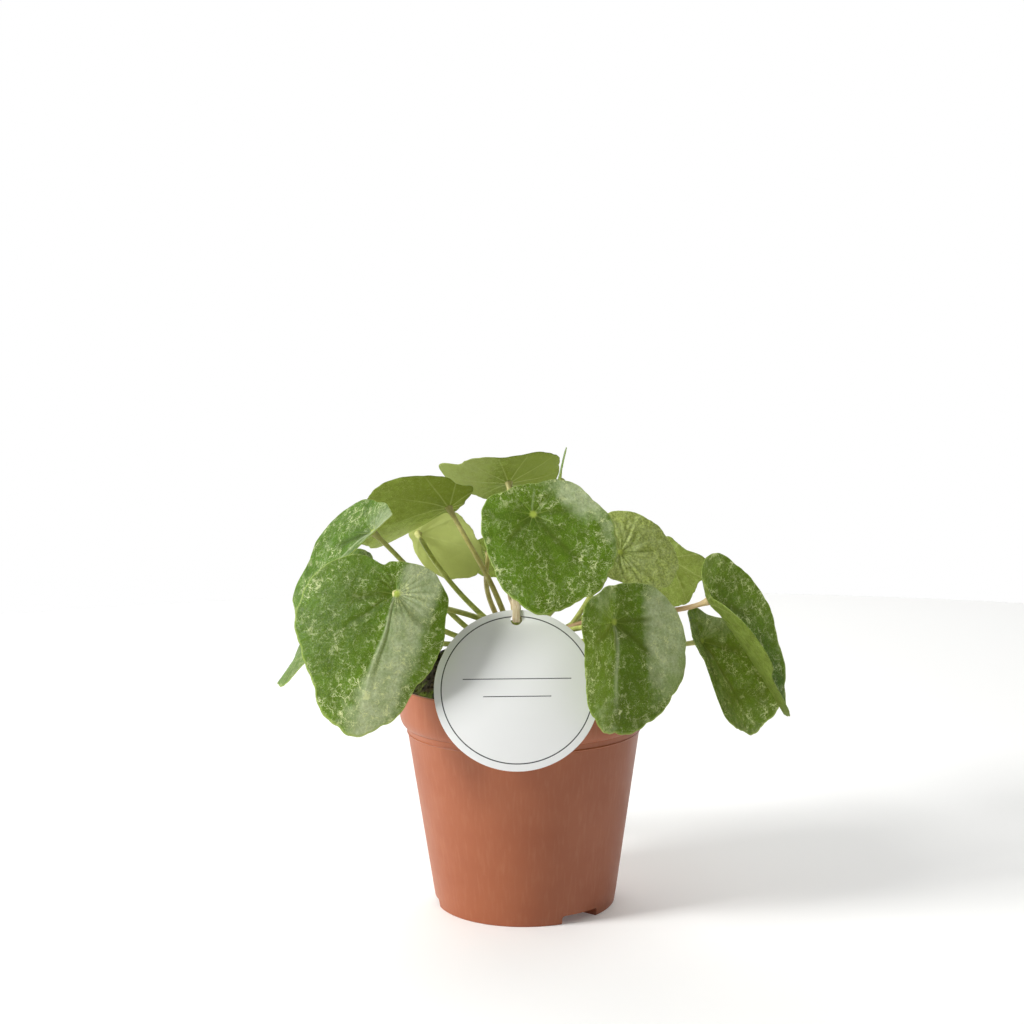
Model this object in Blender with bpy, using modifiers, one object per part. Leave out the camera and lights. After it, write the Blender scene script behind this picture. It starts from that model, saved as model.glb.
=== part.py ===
"""A potted variegated pilea: nursery pot, soil, stem, sixteen stalked leaves and a round plant tag.

Sizes below are in millimetres and angles in degrees. Objects are made in metres, +Z up, with the
origin on the pot's axis at the middle of its underside, and the front of the plant towards -Y.
"""

import math

import bmesh
import bpy
from mathutils import Matrix, Vector

MM = 0.001
GAP = 0.3
WELD = 0.001

# Pot: a round 12 cm nursery pot, thin moulded plastic
POT_HEIGHT = 105.5
RIM_RADIUS = 60.0
COLLAR_BOTTOM = 93.0
COLLAR_DRAFT = 0.8
BODY_TOP = 86.0
BODY_TOP_RADIUS = 55.9
BASE_RADIUS = 43.0
WALL = 1.3
RIM_WALL = 1.8
FLOOR = 1.5
BEAD_HEIGHT = 0.4
BEAD_Z = 83.0
POT_STEPS = 48

# Foot: three drain channels run out from a flat middle to notches in the foot
CHANNEL_AZIMUTHS = (-54.0, 66.0, 186.0)
CHANNEL_HALF_ANGLE = 13.5
CHANNEL_HEIGHT = 4.0
CHANNEL_START = 18.0
DRAIN_RADIUS = 4.0
DRAIN_AT = 30.0
WEDGE_STEPS = 6

# Soil: fills the pot and is heaped round the stem. The side heap is (x, y, height, spread)
SOIL_EDGE = 103.0
SOIL_HEAP = 13.5
SOIL_SHOULDER = 17.0
SOIL_SIDE_HEAP = (-37.0, 14.0, 2.2, 12.0)
SOIL_BUMP = 0.7
SOIL_BUMP_SPAN = 3.4
SOIL_RINGS = (53.5, 48.0, 42.0, 36.0, 28.0, 20.0, 13.0)
SOIL_STEPS = 36

# Stem: the short crown that carries the leaf stalks. Its blunt bud is (radius, height) points
STEM_RADIUS = 6.3
STEM_FOOT = 98.0
STEM_FOOT_CHAMFER = 2.0
STEM_SHOULDER = 129.0
STEM_BUD = ((0.0, 136.0), (2.2, 135.4), (3.6, 133.6), (5.6, 132.6))
STEM_STEPS = 24

# Leaf blades and stalks
BLADE = 0.8
BLADE_STEPS = 44
BLADE_RINGS = ((0.24, 4), (0.5, 2), (0.74, 2), (0.9, 1), (1.0, 1))
HUB_RAISE = 1.2
HUB_WIDTH = 6.0
FOLD_ROUND = 3.0
SCALLOPS = 11
SCALLOP_DEPTH = 0.028
SCALLOP_MEAN = 0.64
EGG = 0.06
REACH_STEP = 15.0
STALK_RADIUS_ROOT = 1.5
STALK_RADIUS_TIP = 1.2
STALK_POINTS = 10

# Tag: a round card that leans on the rim, with its punched hole near the top edge
TAG_RADIUS = 36.7
TAG_THICKNESS = 0.7
TAG_CENTRE_X = -3.0
TAG_CENTRE_Z = 112.5
TAG_LEAN = 26.5
HOLE_RADIUS = 2.6
HOLE_FROM_EDGE = 4.6
TAG_STEPS = 56
HOLE_STEPS = 14

# Loop: a flat band through the hole and round the stalk of the leaf above the tag. Its two runs
# lie one over the other at the card, and a quarter turn on the way brings them beside the stalk.
LOOP_WIDTH = 3.4
LOOP_THICKNESS = 0.7
LOOP_HELD_BY = "e"
LOOP_STALK_SHARE = 0.42
LOOP_SLACK = 0.4
LOOP_TWIST = (0.35, 0.9)
LOOP_SHARES = (0.3, 0.45, 0.6, 0.75, 0.9)
LOOP_TURNS = (60, 20, -20, -60)

# The band's way through the hole, as (up, out) from the hole's middle, then over the card's face,
# as (up, extra distance off the card), and last past the card's top edge
LOOP_THROUGH_HOLE = ((-0.2, -1.2), (-0.2, 0.2), (0.2, 1.0))
LOOP_OVER_CARD = ((1.2, 0.5), (3.0, 0.3), (HOLE_FROM_EDGE, 0.2))
LOOP_PAST_EDGE = (0.2, 0.4)

# Each leaf: the place of its hub (x, y, z), the way its upper side faces (azimuth, elevation),
# the turn of its tip about that direction, its length and width, and the hub's distance from
# the upper edge as a share of the length. These give an oval, slightly narrower at the tip.
# Leaves in plain view have an edge of their own instead: reach is its distance from the hub in
# every 15 degrees round, from the tip on, and the oval then only spaces the points.
# Then the bends, in mm and radians: droop and cup are curvatures along and across the blade,
# fold is the slope of a folded midrib, curl lifts the upper edge and twist turns the tip.
# The stalk leaves the stem at azimuth and height root, rising at rise, with pulls that set how
# far it keeps its first and last directions, and bow pushes its middle aside.
LEAVES = {
    "a": dict(hub=(-55, -62, 156), face=(-85, 18), turn=-20, size=(81, 70), up=0.205,
              reach=(64, 57, 43, 36, 31, 26, 24, 23, 21, 20, 18, 16,
                     15, 15, 15, 15, 25, 32, 38, 44, 48, 50, 52, 60),
              droop=0.005, cup=-0.006, fold=-0.2,
              root=(-128, 126.5), rise=48, pulls=(20, 20)),
    "b": dict(hub=(-69, -22, 180), face=(-155, 45), turn=-26, size=(68, 51), up=0.2,
              reach=(56, 50, 42, 34, 28, 24, 21, 18, 15, 13, 14, 14,
                     13, 13, 14, 15, 16, 20, 26, 31, 35, 39, 41, 56),
              droop=0.006, fold=0.3, root=(-150, 123), rise=0, pulls=(22, 34)),
    "c": dict(hub=(-35, 14, 189), face=(111, 55), turn=60, size=(69, 57), up=0.19,
              reach=(46, 42, 42, 40, 36, 27, 22, 19, 15, 15, 17, 13,
                     9, 8, 8, 7, 7, 8, 9, 10, 14, 32, 46, 48),
              droop=0.003, cup=0.005, fold=0.15, root=(142, 130), rise=55, pulls=(30, 30),
              bow=(5, -2, 0)),
    "d": dict(hub=(-6, 48, 199), face=(104, 55), turn=-4, size=(60, 66), up=0.34,
              reach=(23, 21, 21, 22, 27, 33, 37, 28, 27, 27, 25, 22,
                     22, 23, 25, 26, 28, 29, 30, 31, 31, 30, 28, 25),
              droop=-0.002, cup=0.016, root=(100, 130), rise=70, pulls=(35, 30)),
    "e": dict(hub=(5, -46, 189), face=(-90, 22), turn=22, size=(63, 60), up=0.245,
              reach=(44, 45, 43, 40, 36, 30, 26, 24, 21, 17, 14, 14,
                     14, 15, 16, 21, 23, 23, 25, 26, 30, 36, 42, 46),
              droop=0.004, cup=-0.003, root=(-95, 130), rise=55, pulls=(20, 22),
              bow=(-7, 0, 0)),
    "f": dict(hub=(-52, 46, 173), face=(88, 5), turn=-74, size=(44, 38), up=0.08,
              reach=(34, 37, 32, 26, 19, 13, 9, 6, 5, 5, 5, 5,
                     5, 5, 5, 6, 8, 10, 13, 16, 19, 22, 25, 29),
              droop=0.004, root=(152, 126.5), rise=30, pulls=(34, 24)),
    "g": dict(hub=(48, 12, 166), face=(-75, 20), turn=70, size=(44, 41), up=0.32,
              reach=(30, 30, 28, 26, 23, 22, 21, 21, 20, 19, 18, 17,
                     16, 15, 15, 15, 15, 15, 15, 15, 17, 20, 25, 29),
              droop=0.008, cup=-0.004, root=(4, 119.5), rise=18, pulls=(20, 22)),
    "h": dict(hub=(75, 50, 159), face=(55, 15), turn=-20, size=(36, 34), up=0.3,
              reach=(25, 26, 25, 23, 20, 18, 16, 15, 14, 13, 12, 11,
                     11, 11, 11, 10, 10, 11, 14, 21, 24, 23, 20, 22),
              droop=0.006, cup=-0.004, root=(32, 123), rise=16, pulls=(34, 22)),
    "i": dict(hub=(40, -58, 142), face=(-52, 10), turn=-8, size=(67, 54), up=0.25,
              reach=(49, 48, 44, 42, 40, 36, 31, 28, 25, 23, 20, 18,
                     16, 16, 16, 16, 18, 20, 21, 22, 24, 28, 35, 44),
              droop=0.004, cup=-0.012, fold=0.4, root=(-62, 123), rise=32, pulls=(18, 20)),
    "j": dict(hub=(84, -42, 149), face=(-23, 30), turn=22, size=(84, 50), up=0.22,
              reach=(67, 56, 43, 36, 28, 24, 22, 21, 20, 19, 18, 16,
                     12, 10, 9, 7, 7, 8, 15, 25, 33, 40, 44, 57),
              droop=0.002, fold=0.6, curl=0.024, root=(-22, 123), rise=38, pulls=(34, 26)),
    "k": dict(hub=(82, -30, 129), face=(-40, 26), turn=20, size=(64, 52), up=0.23,
              reach=(51, 50, 44, 36, 28, 21, 18, 15, 14, 14, 15, 15,
                     15, 13, 12, 12, 12, 12, 12, 13, 14, 24, 38, 43),
              droop=0.004, fold=0.35, twist=0.4, root=(-40, 119.5), rise=30, pulls=(30, 26)),
    "l": dict(hub=(-100, 32, 125), face=(-162, 38), turn=-48, size=(56, 42), up=0.22,
              droop=0.006, root=(166, 119.5), rise=12, pulls=(34, 22)),
    "m": dict(hub=(-80, 5, 156), face=(-150, 28), turn=-20, size=(54, 48), up=0.25,
              droop=0.006, root=(180, 123), rise=0, pulls=(34, 22)),
    "n": dict(hub=(21, 87, 197), face=(178, 15), turn=0, size=(48, 34), up=0.39,
              droop=0.002, wave=0.4, root=(50, 130), rise=40, pulls=(34, 18),
              bow=(10, 8, -8)),
    "p": dict(hub=(-17, 66, 162), face=(100, 46), turn=-60, size=(42, 36), up=0.25,
              droop=0.004, root=(130, 123), rise=55, pulls=(28, 22),
              bow=(-5, 4, 0)),
    "q": dict(hub=(-4, 68, 112), face=(95, 20), turn=0, size=(50, 44), up=0.3,
              droop=0.004, root=(90, 123), rise=35, pulls=(24, 18)),
}
USUAL = dict(reach=None, droop=0.0, cup=0.0, fold=0.0, curl=0.0, twist=0.0, wave=1.0,
             bow=(0, 0, 0))


def clear_scene():
    for obj in list(bpy.data.objects):
        bpy.data.objects.remove(obj, do_unlink=True)


def new_collection(name):
    collection = bpy.data.collections.new(name)
    bpy.context.scene.collection.children.link(collection)
    return collection


def new_material(name, colour, roughness):
    material = bpy.data.materials.new(name)
    material.use_nodes = True
    shader = material.node_tree.nodes["Principled BSDF"]
    shader.inputs["Base Color"].default_value = (*colour, 1.0)
    shader.inputs["Roughness"].default_value = roughness
    shader.inputs["Metallic"].default_value = 0.0
    material.diffuse_color = (*colour, 1.0)
    return material


def new_object(name, data, collection, material=None):
    obj = bpy.data.objects.new(name, data)
    collection.objects.link(obj)
    if material:
        data.materials.append(material)
    return obj


def mesh_from(bm, name):
    mesh = bpy.data.meshes.new(name)
    bm.to_mesh(mesh)
    bm.free()
    return mesh


def add_boolean(obj, cutter, operation):
    modifier = obj.modifiers.new(operation.lower(), "BOOLEAN")
    modifier.operation = operation
    modifier.solver = "EXACT"
    modifier.object = cutter


def as_cutter(obj):
    obj.hide_render = True
    obj.display_type = "WIRE"
    return obj


def direction(azimuth, elevation):
    flat = math.cos(math.radians(elevation))
    return Vector((
        flat * math.cos(math.radians(azimuth)),
        flat * math.sin(math.radians(azimuth)),
        math.sin(math.radians(elevation)),
    ))


def smooth_step(value):
    value = min(max(value, 0.0), 1.0)
    return value * value * (3.0 - 2.0 * value)


def spin_round(bm, line, steps, weld):
    """Spin a line of edges once round the Z axis and weld where the turn meets its start."""
    bmesh.ops.spin(
        bm, geom=line, cent=(0.0, 0.0, 0.0), axis=(0.0, 0.0, 1.0), angle=2.0 * math.pi,
        steps=steps, use_merge=True, use_duplicate=False,
    )
    bmesh.ops.remove_doubles(bm, verts=bm.verts, dist=weld)


def turned(name, profile, steps, collection, material):
    """A solid of revolution. The profile is (radius, z) in mm and runs down its outer side."""
    bm = bmesh.new()
    points = [bm.verts.new((radius * MM, 0.0, z * MM)) for radius, z in profile]
    for start, end in zip(points, points[1:]):
        bm.edges.new((start, end))
    obj = new_object(name, mesh_from(bm, name), collection, material)
    screw = obj.modifiers.new("turn", "SCREW")
    screw.steps = steps
    screw.render_steps = steps
    screw.use_merge_vertices = True
    screw.merge_threshold = 0.00001
    screw.use_smooth_shade = True
    return obj


def wall_radius(z):
    """Outer radius of the pot's tapered body at a height."""
    return BASE_RADIUS + (BODY_TOP_RADIUS - BASE_RADIUS) * z / BODY_TOP


def shoulder(inset, count=5):
    """The curve under the collar, from the collar in to the body, offset inwards."""
    collar = RIM_RADIUS - COLLAR_DRAFT
    points = []
    for step in range(count):
        turn = 0.5 * math.pi * step / (count - 1)
        radius = BODY_TOP_RADIUS + (collar - BODY_TOP_RADIUS) * math.cos(turn)
        z = COLLAR_BOTTOM - (COLLAR_BOTTOM - BODY_TOP) * math.sin(turn)
        points.append((radius - inset, z))
    return points


def pot_outside():
    lip = [(RIM_RADIUS - 0.5, POT_HEIGHT), (RIM_RADIUS, POT_HEIGHT - 0.5)]
    bead = [
        (wall_radius(BEAD_Z + 0.6), BEAD_Z + 0.6),
        (wall_radius(BEAD_Z) + BEAD_HEIGHT, BEAD_Z),
        (wall_radius(BEAD_Z - 0.6), BEAD_Z - 0.6),
    ]
    foot = [(wall_radius(0.6), 0.6), (BASE_RADIUS - 0.6, 0.0), (0.0, 0.0)]
    return lip + shoulder(0.0) + bead + foot


def pot_inside(inset, bottom):
    """The inner side from the floor's middle up to the rim, moved in by a clearance."""
    floor_radius = wall_radius(bottom) - WALL - inset
    rise = [(0.0, bottom), (floor_radius - 1.5, bottom), (floor_radius, bottom + 1.5)]
    return rise + list(reversed(shoulder(WALL + inset)))


def wedge(name, azimuth, half_angle, radii, heights, collection):
    """A cutter shaped as a sector of a ring round the pot's axis, centred on an azimuth."""
    bm = bmesh.new()
    turns = [half_angle * (2.0 * step / WEDGE_STEPS - 1.0) for step in range(WEDGE_STEPS + 1)]
    corners = [(radii[0], turn) for turn in turns] + [(radii[1], turn) for turn in turns[::-1]]
    outline = [
        bm.verts.new(direction(azimuth + turn, 0.0) * radius * MM + Vector((0, 0, heights[0] * MM)))
        for radius, turn in corners
    ]
    face = bm.faces.new(outline)
    lifted = bmesh.ops.extrude_face_region(bm, geom=[face])["geom"]
    top = [item for item in lifted if isinstance(item, bmesh.types.BMVert)]
    bmesh.ops.translate(bm, verts=top, vec=(0.0, 0.0, (heights[1] - heights[0]) * MM))
    bmesh.ops.recalc_face_normals(bm, faces=bm.faces)
    return as_cutter(new_object(name, mesh_from(bm, name), collection))


def wider(clearance):
    """A channel's half angle, opened by a clearance measured at the drain holes."""
    return CHANNEL_HALF_ANGLE + math.degrees(clearance / DRAIN_AT)


def make_drain(number, azimuth, collection):
    bm = bmesh.new()
    bmesh.ops.create_cone(
        bm, cap_ends=True, segments=16, radius1=DRAIN_RADIUS * MM, radius2=DRAIN_RADIUS * MM,
        depth=4.0 * FLOOR * MM,
    )
    drain = new_object(f"drain_{number}", mesh_from(bm, f"drain_{number}"), collection)
    drain.location = DRAIN_AT * MM * direction(azimuth, 0.0)
    drain.location.z = (CHANNEL_HEIGHT + 0.5 * FLOOR) * MM
    return as_cutter(drain)


def make_pot(parts, cutters, material):
    """A turned shell. Its floor is raised over each channel, which is then cut from below."""
    profile = pot_inside(0.0, FLOOR) + [(RIM_RADIUS - RIM_WALL, POT_HEIGHT)] + pot_outside()
    pot = turned("pot", profile, POT_STEPS, parts, material)
    for number, azimuth in enumerate(CHANNEL_AZIMUTHS, 1):
        roof = wedge(
            f"channel_roof_{number}", azimuth, wider(FLOOR),
            (CHANNEL_START - FLOOR, BASE_RADIUS - 0.5 * WALL),
            (0.5 * FLOOR, CHANNEL_HEIGHT + FLOOR), cutters,
        )
        add_boolean(pot, roof, "UNION")
    for number, azimuth in enumerate(CHANNEL_AZIMUTHS, 1):
        channel = wedge(
            f"channel_{number}", azimuth, CHANNEL_HALF_ANGLE,
            (CHANNEL_START, RIM_RADIUS), (-CHANNEL_HEIGHT, CHANNEL_HEIGHT), cutters,
        )
        add_boolean(pot, channel, "DIFFERENCE")
        add_boolean(pot, make_drain(number, azimuth, cutters), "DIFFERENCE")
    return pot


def soil_height(x, y):
    """Height of the soil's surface: heaped in the middle, higher at one side, gently uneven."""
    reach = math.hypot(x, y)
    inner = RIM_RADIUS - WALL - GAP
    heap = SOIL_HEAP * smooth_step((inner - reach) / SOIL_SHOULDER)
    side_x, side_y, side_height, side_spread = SOIL_SIDE_HEAP
    away = math.hypot(x - side_x, y - side_y) / side_spread
    side = side_height * math.exp(-(away ** 2))
    level_at_stem = smooth_step((reach - STEM_RADIUS - 3.0) / SOIL_SHOULDER)
    waves = math.sin(x / SOIL_BUMP_SPAN + 1.0) * math.sin(y / SOIL_BUMP_SPAN + 0.4)
    return SOIL_EDGE + heap + side + SOIL_BUMP * waves * level_at_stem


def make_soil(parts, cutters, material):
    """One mass with the roots: spun to the pot's inside, its top raised to the heap."""
    side = pot_inside(GAP, FLOOR + GAP)
    hole = STEM_RADIUS + GAP
    top = SOIL_EDGE + 1.0
    profile = side + [(side[-1][0], SOIL_EDGE)]
    profile += [(radius, top) for radius in SOIL_RINGS]
    profile += [(hole, top), (hole, STEM_FOOT - GAP), (0.0, STEM_FOOT - GAP)]
    bm = bmesh.new()
    points = [bm.verts.new((radius * MM, 0.0, z * MM)) for radius, z in profile]
    edges = [bm.edges.new(pair) for pair in zip(points, points[1:])]
    spin_round(bm, points + edges, SOIL_STEPS, WELD * MM)
    for vert in bm.verts:
        if vert.co.z > (SOIL_EDGE - WELD) * MM:
            vert.co.z = soil_height(vert.co.x / MM, vert.co.y / MM) * MM
    bmesh.ops.recalc_face_normals(bm, faces=bm.faces)
    soil = new_object("soil", mesh_from(bm, "soil"), parts, material)
    for number, azimuth in enumerate(CHANNEL_AZIMUTHS, 1):
        clearance = FLOOR + GAP
        channel = wedge(
            f"soil_channel_{number}", azimuth, wider(clearance),
            (CHANNEL_START - clearance, BASE_RADIUS), (0.0, CHANNEL_HEIGHT + clearance), cutters,
        )
        add_boolean(soil, channel, "DIFFERENCE")
    return soil


class Leaf:
    """A round blade on a long stalk that joins it from below, at its hub."""

    def __init__(self, name, values):
        self.name = name
        for key, value in {**USUAL, **values}.items():
            setattr(self, key, value)
        self.seed = 1 + list(LEAVES).index(name)
        self.hub = Vector(self.hub)
        azimuth, elevation = self.face
        self.normal = direction(azimuth, elevation)
        down = -direction(azimuth, elevation + 90.0)
        turn = math.radians(self.turn)
        self.along = down * math.cos(turn) + self.normal.cross(down) * math.sin(turn)
        self.across = self.normal.cross(self.along)

    def reach_at(self, around):
        """The edge's distance from the hub in a direction, on a smooth line through reach."""
        place = math.degrees(around) / REACH_STEP
        number = math.floor(place)
        share = place - number
        before, start, end, after = (
            self.reach[(number + step) % len(self.reach)] for step in (-1, 0, 1, 2)
        )
        slope = end - before
        bend = 2.0 * before - 5.0 * start + 4.0 * end - after
        change = 3.0 * start - before - 3.0 * end + after
        return start + 0.5 * share * (slope + share * (bend + share * change))

    def edge(self, angle):
        """The edge of the flat blade at an angle round its middle: (along, across) in mm."""
        length, width = self.size
        wave = abs(math.sin(0.5 * SCALLOPS * angle + self.seed)) - SCALLOP_MEAN
        swell = 1.0 + SCALLOP_DEPTH * wave
        along = length * (0.5 - self.up + 0.5 * math.cos(angle))
        across = 0.5 * width * math.sin(angle) * (1.0 - EGG * math.cos(angle))
        if self.reach:
            around = math.atan2(across, along)
            distance = self.reach_at(around)
            along = distance * math.cos(around)
            across = distance * math.sin(around)
        return along * swell, across * swell

    def point(self, share, angle):
        """A point of the upper side, at a share of the way from the hub to the edge."""
        edge_along, edge_across = self.edge(angle)
        along = share * edge_along
        across = share * edge_across
        reach = math.hypot(along, across)
        lift = self.fold * (math.sqrt(across ** 2 + FOLD_ROUND ** 2) - FOLD_ROUND)
        lift += HUB_RAISE * (1.0 - math.exp(-((reach / HUB_WIDTH) ** 2)))
        lift += self.curl * min(along, 0.0) ** 2
        lift += self.wave * share ** 3 * math.sin(3.0 * angle + 2.1 * self.seed)
        lift += 0.5 * self.wave * share ** 4 * math.sin(5.0 * angle + self.seed)
        if self.cup:
            radius = 1.0 / self.cup - lift
            turn = self.cup * across
            across = radius * math.sin(turn)
            lift = 1.0 / self.cup - radius * math.cos(turn)
        if self.droop:
            radius = 1.0 / self.droop + lift
            turn = self.droop * along
            along = radius * math.sin(turn)
            lift = radius * math.cos(turn) - 1.0 / self.droop
        turn = self.twist * along / self.size[0]
        across, lift = (
            across * math.cos(turn) - lift * math.sin(turn),
            across * math.sin(turn) + lift * math.cos(turn),
        )
        return self.hub + self.along * along + self.across * across + self.normal * lift

    def stalk(self):
        """Points along the stalk, from its root on the stem's side to just under the hub."""
        azimuth, height = self.root
        aside = Vector(self.bow)
        leaving = direction(azimuth, self.rise) * self.pulls[0] + aside
        off_stem = STEM_RADIUS + GAP + STALK_RADIUS_ROOT * leaving.normalized().z
        start = direction(azimuth, 0.0) * off_stem + Vector((0, 0, height))
        straight = (self.hub - start).normalized()
        arriving = (self.normal + straight).normalized()
        tilt = math.sqrt(max(0.0, 1.0 - arriving.dot(self.normal) ** 2))
        end = self.hub - self.normal * (BLADE + GAP + STALK_RADIUS_TIP * tilt)
        first = start + leaving
        last = end - arriving * self.pulls[1] + aside
        points = []
        for step in range(STALK_POINTS):
            share = step / (STALK_POINTS - 1)
            rest = 1.0 - share
            points.append(
                start * rest ** 3 + first * 3.0 * rest ** 2 * share
                + last * 3.0 * rest * share ** 2 + end * share ** 3
            )
        return points


def make_blade(leaf, parts, material):
    """A fan of rings, fewer points near the hub, shaped by the leaf's form and thickened."""
    bm = bmesh.new()
    spokes = [bm.verts.new((share, 0.0, 0.0)) for share in (0.0, *(r[0] for r in BLADE_RINGS))]
    edges = [bm.edges.new(pair) for pair in zip(spokes, spokes[1:])]
    spin_round(bm, spokes + edges, BLADE_STEPS, WELD)
    step_angle = 2.0 * math.pi / BLADE_STEPS
    for share, keep_every in BLADE_RINGS:
        ring = {}
        for vert in bm.verts:
            if abs(math.hypot(vert.co.x, vert.co.y) - share) < WELD:
                number = round(math.atan2(vert.co.y, vert.co.x) / step_angle) % BLADE_STEPS
                ring[number] = vert
        welds = {
            vert: ring[number - number % keep_every]
            for number, vert in ring.items() if number % keep_every
        }
        bmesh.ops.weld_verts(bm, targetmap=welds)
    if sum(face.normal.z for face in bm.faces) < 0.0:
        bmesh.ops.reverse_faces(bm, faces=bm.faces)
    bmesh.ops.triangulate(bm, faces=bm.faces)
    for vert in bm.verts:
        share = math.hypot(vert.co.x, vert.co.y)
        vert.co = leaf.point(share, math.atan2(vert.co.y, vert.co.x)) * MM
    name = f"leaf_{leaf.name}"
    blade = new_object(name, mesh_from(bm, name), parts, material)
    blade.data.shade_smooth()
    solid = blade.modifiers.new("thickness", "SOLIDIFY")
    solid.thickness = BLADE * MM
    solid.offset = -1.0
    return blade


def make_stalk(leaf, parts, material):
    name = f"stalk_{leaf.name}"
    curve = bpy.data.curves.new(name, "CURVE")
    curve.dimensions = "3D"
    curve.bevel_depth = MM
    curve.bevel_resolution = 2
    curve.use_fill_caps = True
    points = leaf.stalk()
    spline = curve.splines.new("POLY")
    spline.points.add(len(points) - 1)
    for number, place in enumerate(points):
        share = number / (len(points) - 1)
        spline.points[number].co = (*(place * MM), 1.0)
        thin = STALK_RADIUS_ROOT + (STALK_RADIUS_TIP - STALK_RADIUS_ROOT) * share
        spline.points[number].radius = thin
    return new_object(name, curve, parts, material)


def make_stem(parts, material):
    """The short crown, on whose side the stalks stand, with a blunt bud on top."""
    side = [(STEM_RADIUS, STEM_SHOULDER), (STEM_RADIUS, STEM_FOOT + STEM_FOOT_CHAMFER)]
    foot = [(STEM_RADIUS - STEM_FOOT_CHAMFER, STEM_FOOT), (0.0, STEM_FOOT)]
    return turned("stem", list(STEM_BUD) + side + foot, STEM_STEPS, parts, material)


def tag_frame():
    """The card's middle, its upward direction and the way its face looks, in mm."""
    up = direction(90.0, 90.0 - TAG_LEAN)
    face = direction(-90.0, TAG_LEAN)
    below = TAG_CENTRE_Z - POT_HEIGHT
    rim_to_middle = below * math.tan(math.radians(TAG_LEAN))
    off_rim = (0.5 * TAG_THICKNESS + GAP) / math.cos(math.radians(TAG_LEAN))
    y = -RIM_RADIUS - off_rim + rim_to_middle
    return Vector((TAG_CENTRE_X, y, TAG_CENTRE_Z)), up, face


def ring_of_points(curve, radius, centre, count):
    spline = curve.splines.new("POLY")
    spline.points.add(count - 1)
    for number in range(count):
        angle = 2.0 * math.pi * number / count
        x = radius * math.cos(angle)
        y = centre + radius * math.sin(angle)
        spline.points[number].co = (x * MM, y * MM, 0.0, 1.0)
    spline.use_cyclic_u = True


def make_tag(parts, material):
    curve = bpy.data.curves.new("tag", "CURVE")
    curve.dimensions = "2D"
    curve.fill_mode = "BOTH"
    curve.extrude = 0.5 * TAG_THICKNESS * MM
    ring_of_points(curve, TAG_RADIUS, 0.0, TAG_STEPS)
    ring_of_points(curve, HOLE_RADIUS, TAG_RADIUS - HOLE_FROM_EDGE, HOLE_STEPS)
    tag = new_object("tag", curve, parts, material)
    middle, up, face = tag_frame()
    across = up.cross(face)
    turn = Matrix((across, up, face)).transposed().to_4x4()
    tag.matrix_world = Matrix.Translation(middle * MM) @ turn
    return tag


def loop_lines(stalk):
    """The band's middle line as (place, width direction), once round the closed band in mm."""
    middle, up, face = tag_frame()
    hole = middle + up * (TAG_RADIUS - HOLE_FROM_EDGE)
    place = LOOP_STALK_SHARE * (len(stalk) - 1)
    before, after = stalk[int(place)], stalk[int(place) + 1]
    held = before + (after - before) * (place - int(place))
    off_card = 0.5 * (TAG_THICKNESS + LOOP_THICKNESS) + GAP
    half_gap = STALK_RADIUS_ROOT + GAP + 0.5 * LOOP_THICKNESS + LOOP_SLACK
    past_up, past_out = LOOP_PAST_EDGE
    edge = HOLE_FROM_EDGE + off_card + past_up
    start = hole + up * 0.5 * edge
    reach = (held - start).normalized()
    side = up.cross(face)
    side = (side - reach * side.dot(reach)).normalized()
    rise = side.cross(reach)
    rise = rise if rise.z > 0.0 else -rise
    span = (held - start).length
    over_card = [(rise_up, off_card + extra) for rise_up, extra in LOOP_OVER_CARD]
    at_card = [*LOOP_THROUGH_HOLE, *over_card, (edge, past_out)]
    lines = [(hole + up * step + face * out, up.cross(face)) for step, out in at_card]

    def run(share, sign):
        first, last = LOOP_TWIST
        turn = 0.5 * math.pi * smooth_step((share - first) / (last - first))
        out = rise * math.cos(turn) + side * math.sin(turn)
        wide = side * math.cos(turn) - rise * math.sin(turn)
        return start + reach * span * share + out * half_gap * sign, wide

    lines += [run(share, 1.0) for share in LOOP_SHARES]
    for turn in LOOP_TURNS:
        angle = math.radians(turn)
        around = (reach * math.cos(angle) + side * math.sin(angle)) * half_gap
        lines.append((held + around, -rise))
    lines += [run(share, -1.0) for share in reversed(LOOP_SHARES)]
    return lines


def make_loop(stalk, parts, material):
    """A flat band: cross lines along the route, joined by faces and thickened."""
    bm = bmesh.new()
    pairs = []
    for place, wide in loop_lines(stalk):
        half = 0.5 * LOOP_WIDTH * wide
        pairs.append((bm.verts.new((place - half) * MM), bm.verts.new((place + half) * MM)))
    for (left, right), (next_left, next_right) in zip(pairs, pairs[1:] + pairs[:1]):
        bm.faces.new((left, next_left, next_right, right))
    bmesh.ops.recalc_face_normals(bm, faces=bm.faces)
    bmesh.ops.triangulate(bm, faces=bm.faces)
    loop = new_object("tag_loop", mesh_from(bm, "tag_loop"), parts, material)
    solid = loop.modifiers.new("thickness", "SOLIDIFY")
    solid.thickness = LOOP_THICKNESS * MM
    solid.offset = 0.0
    return loop


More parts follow.
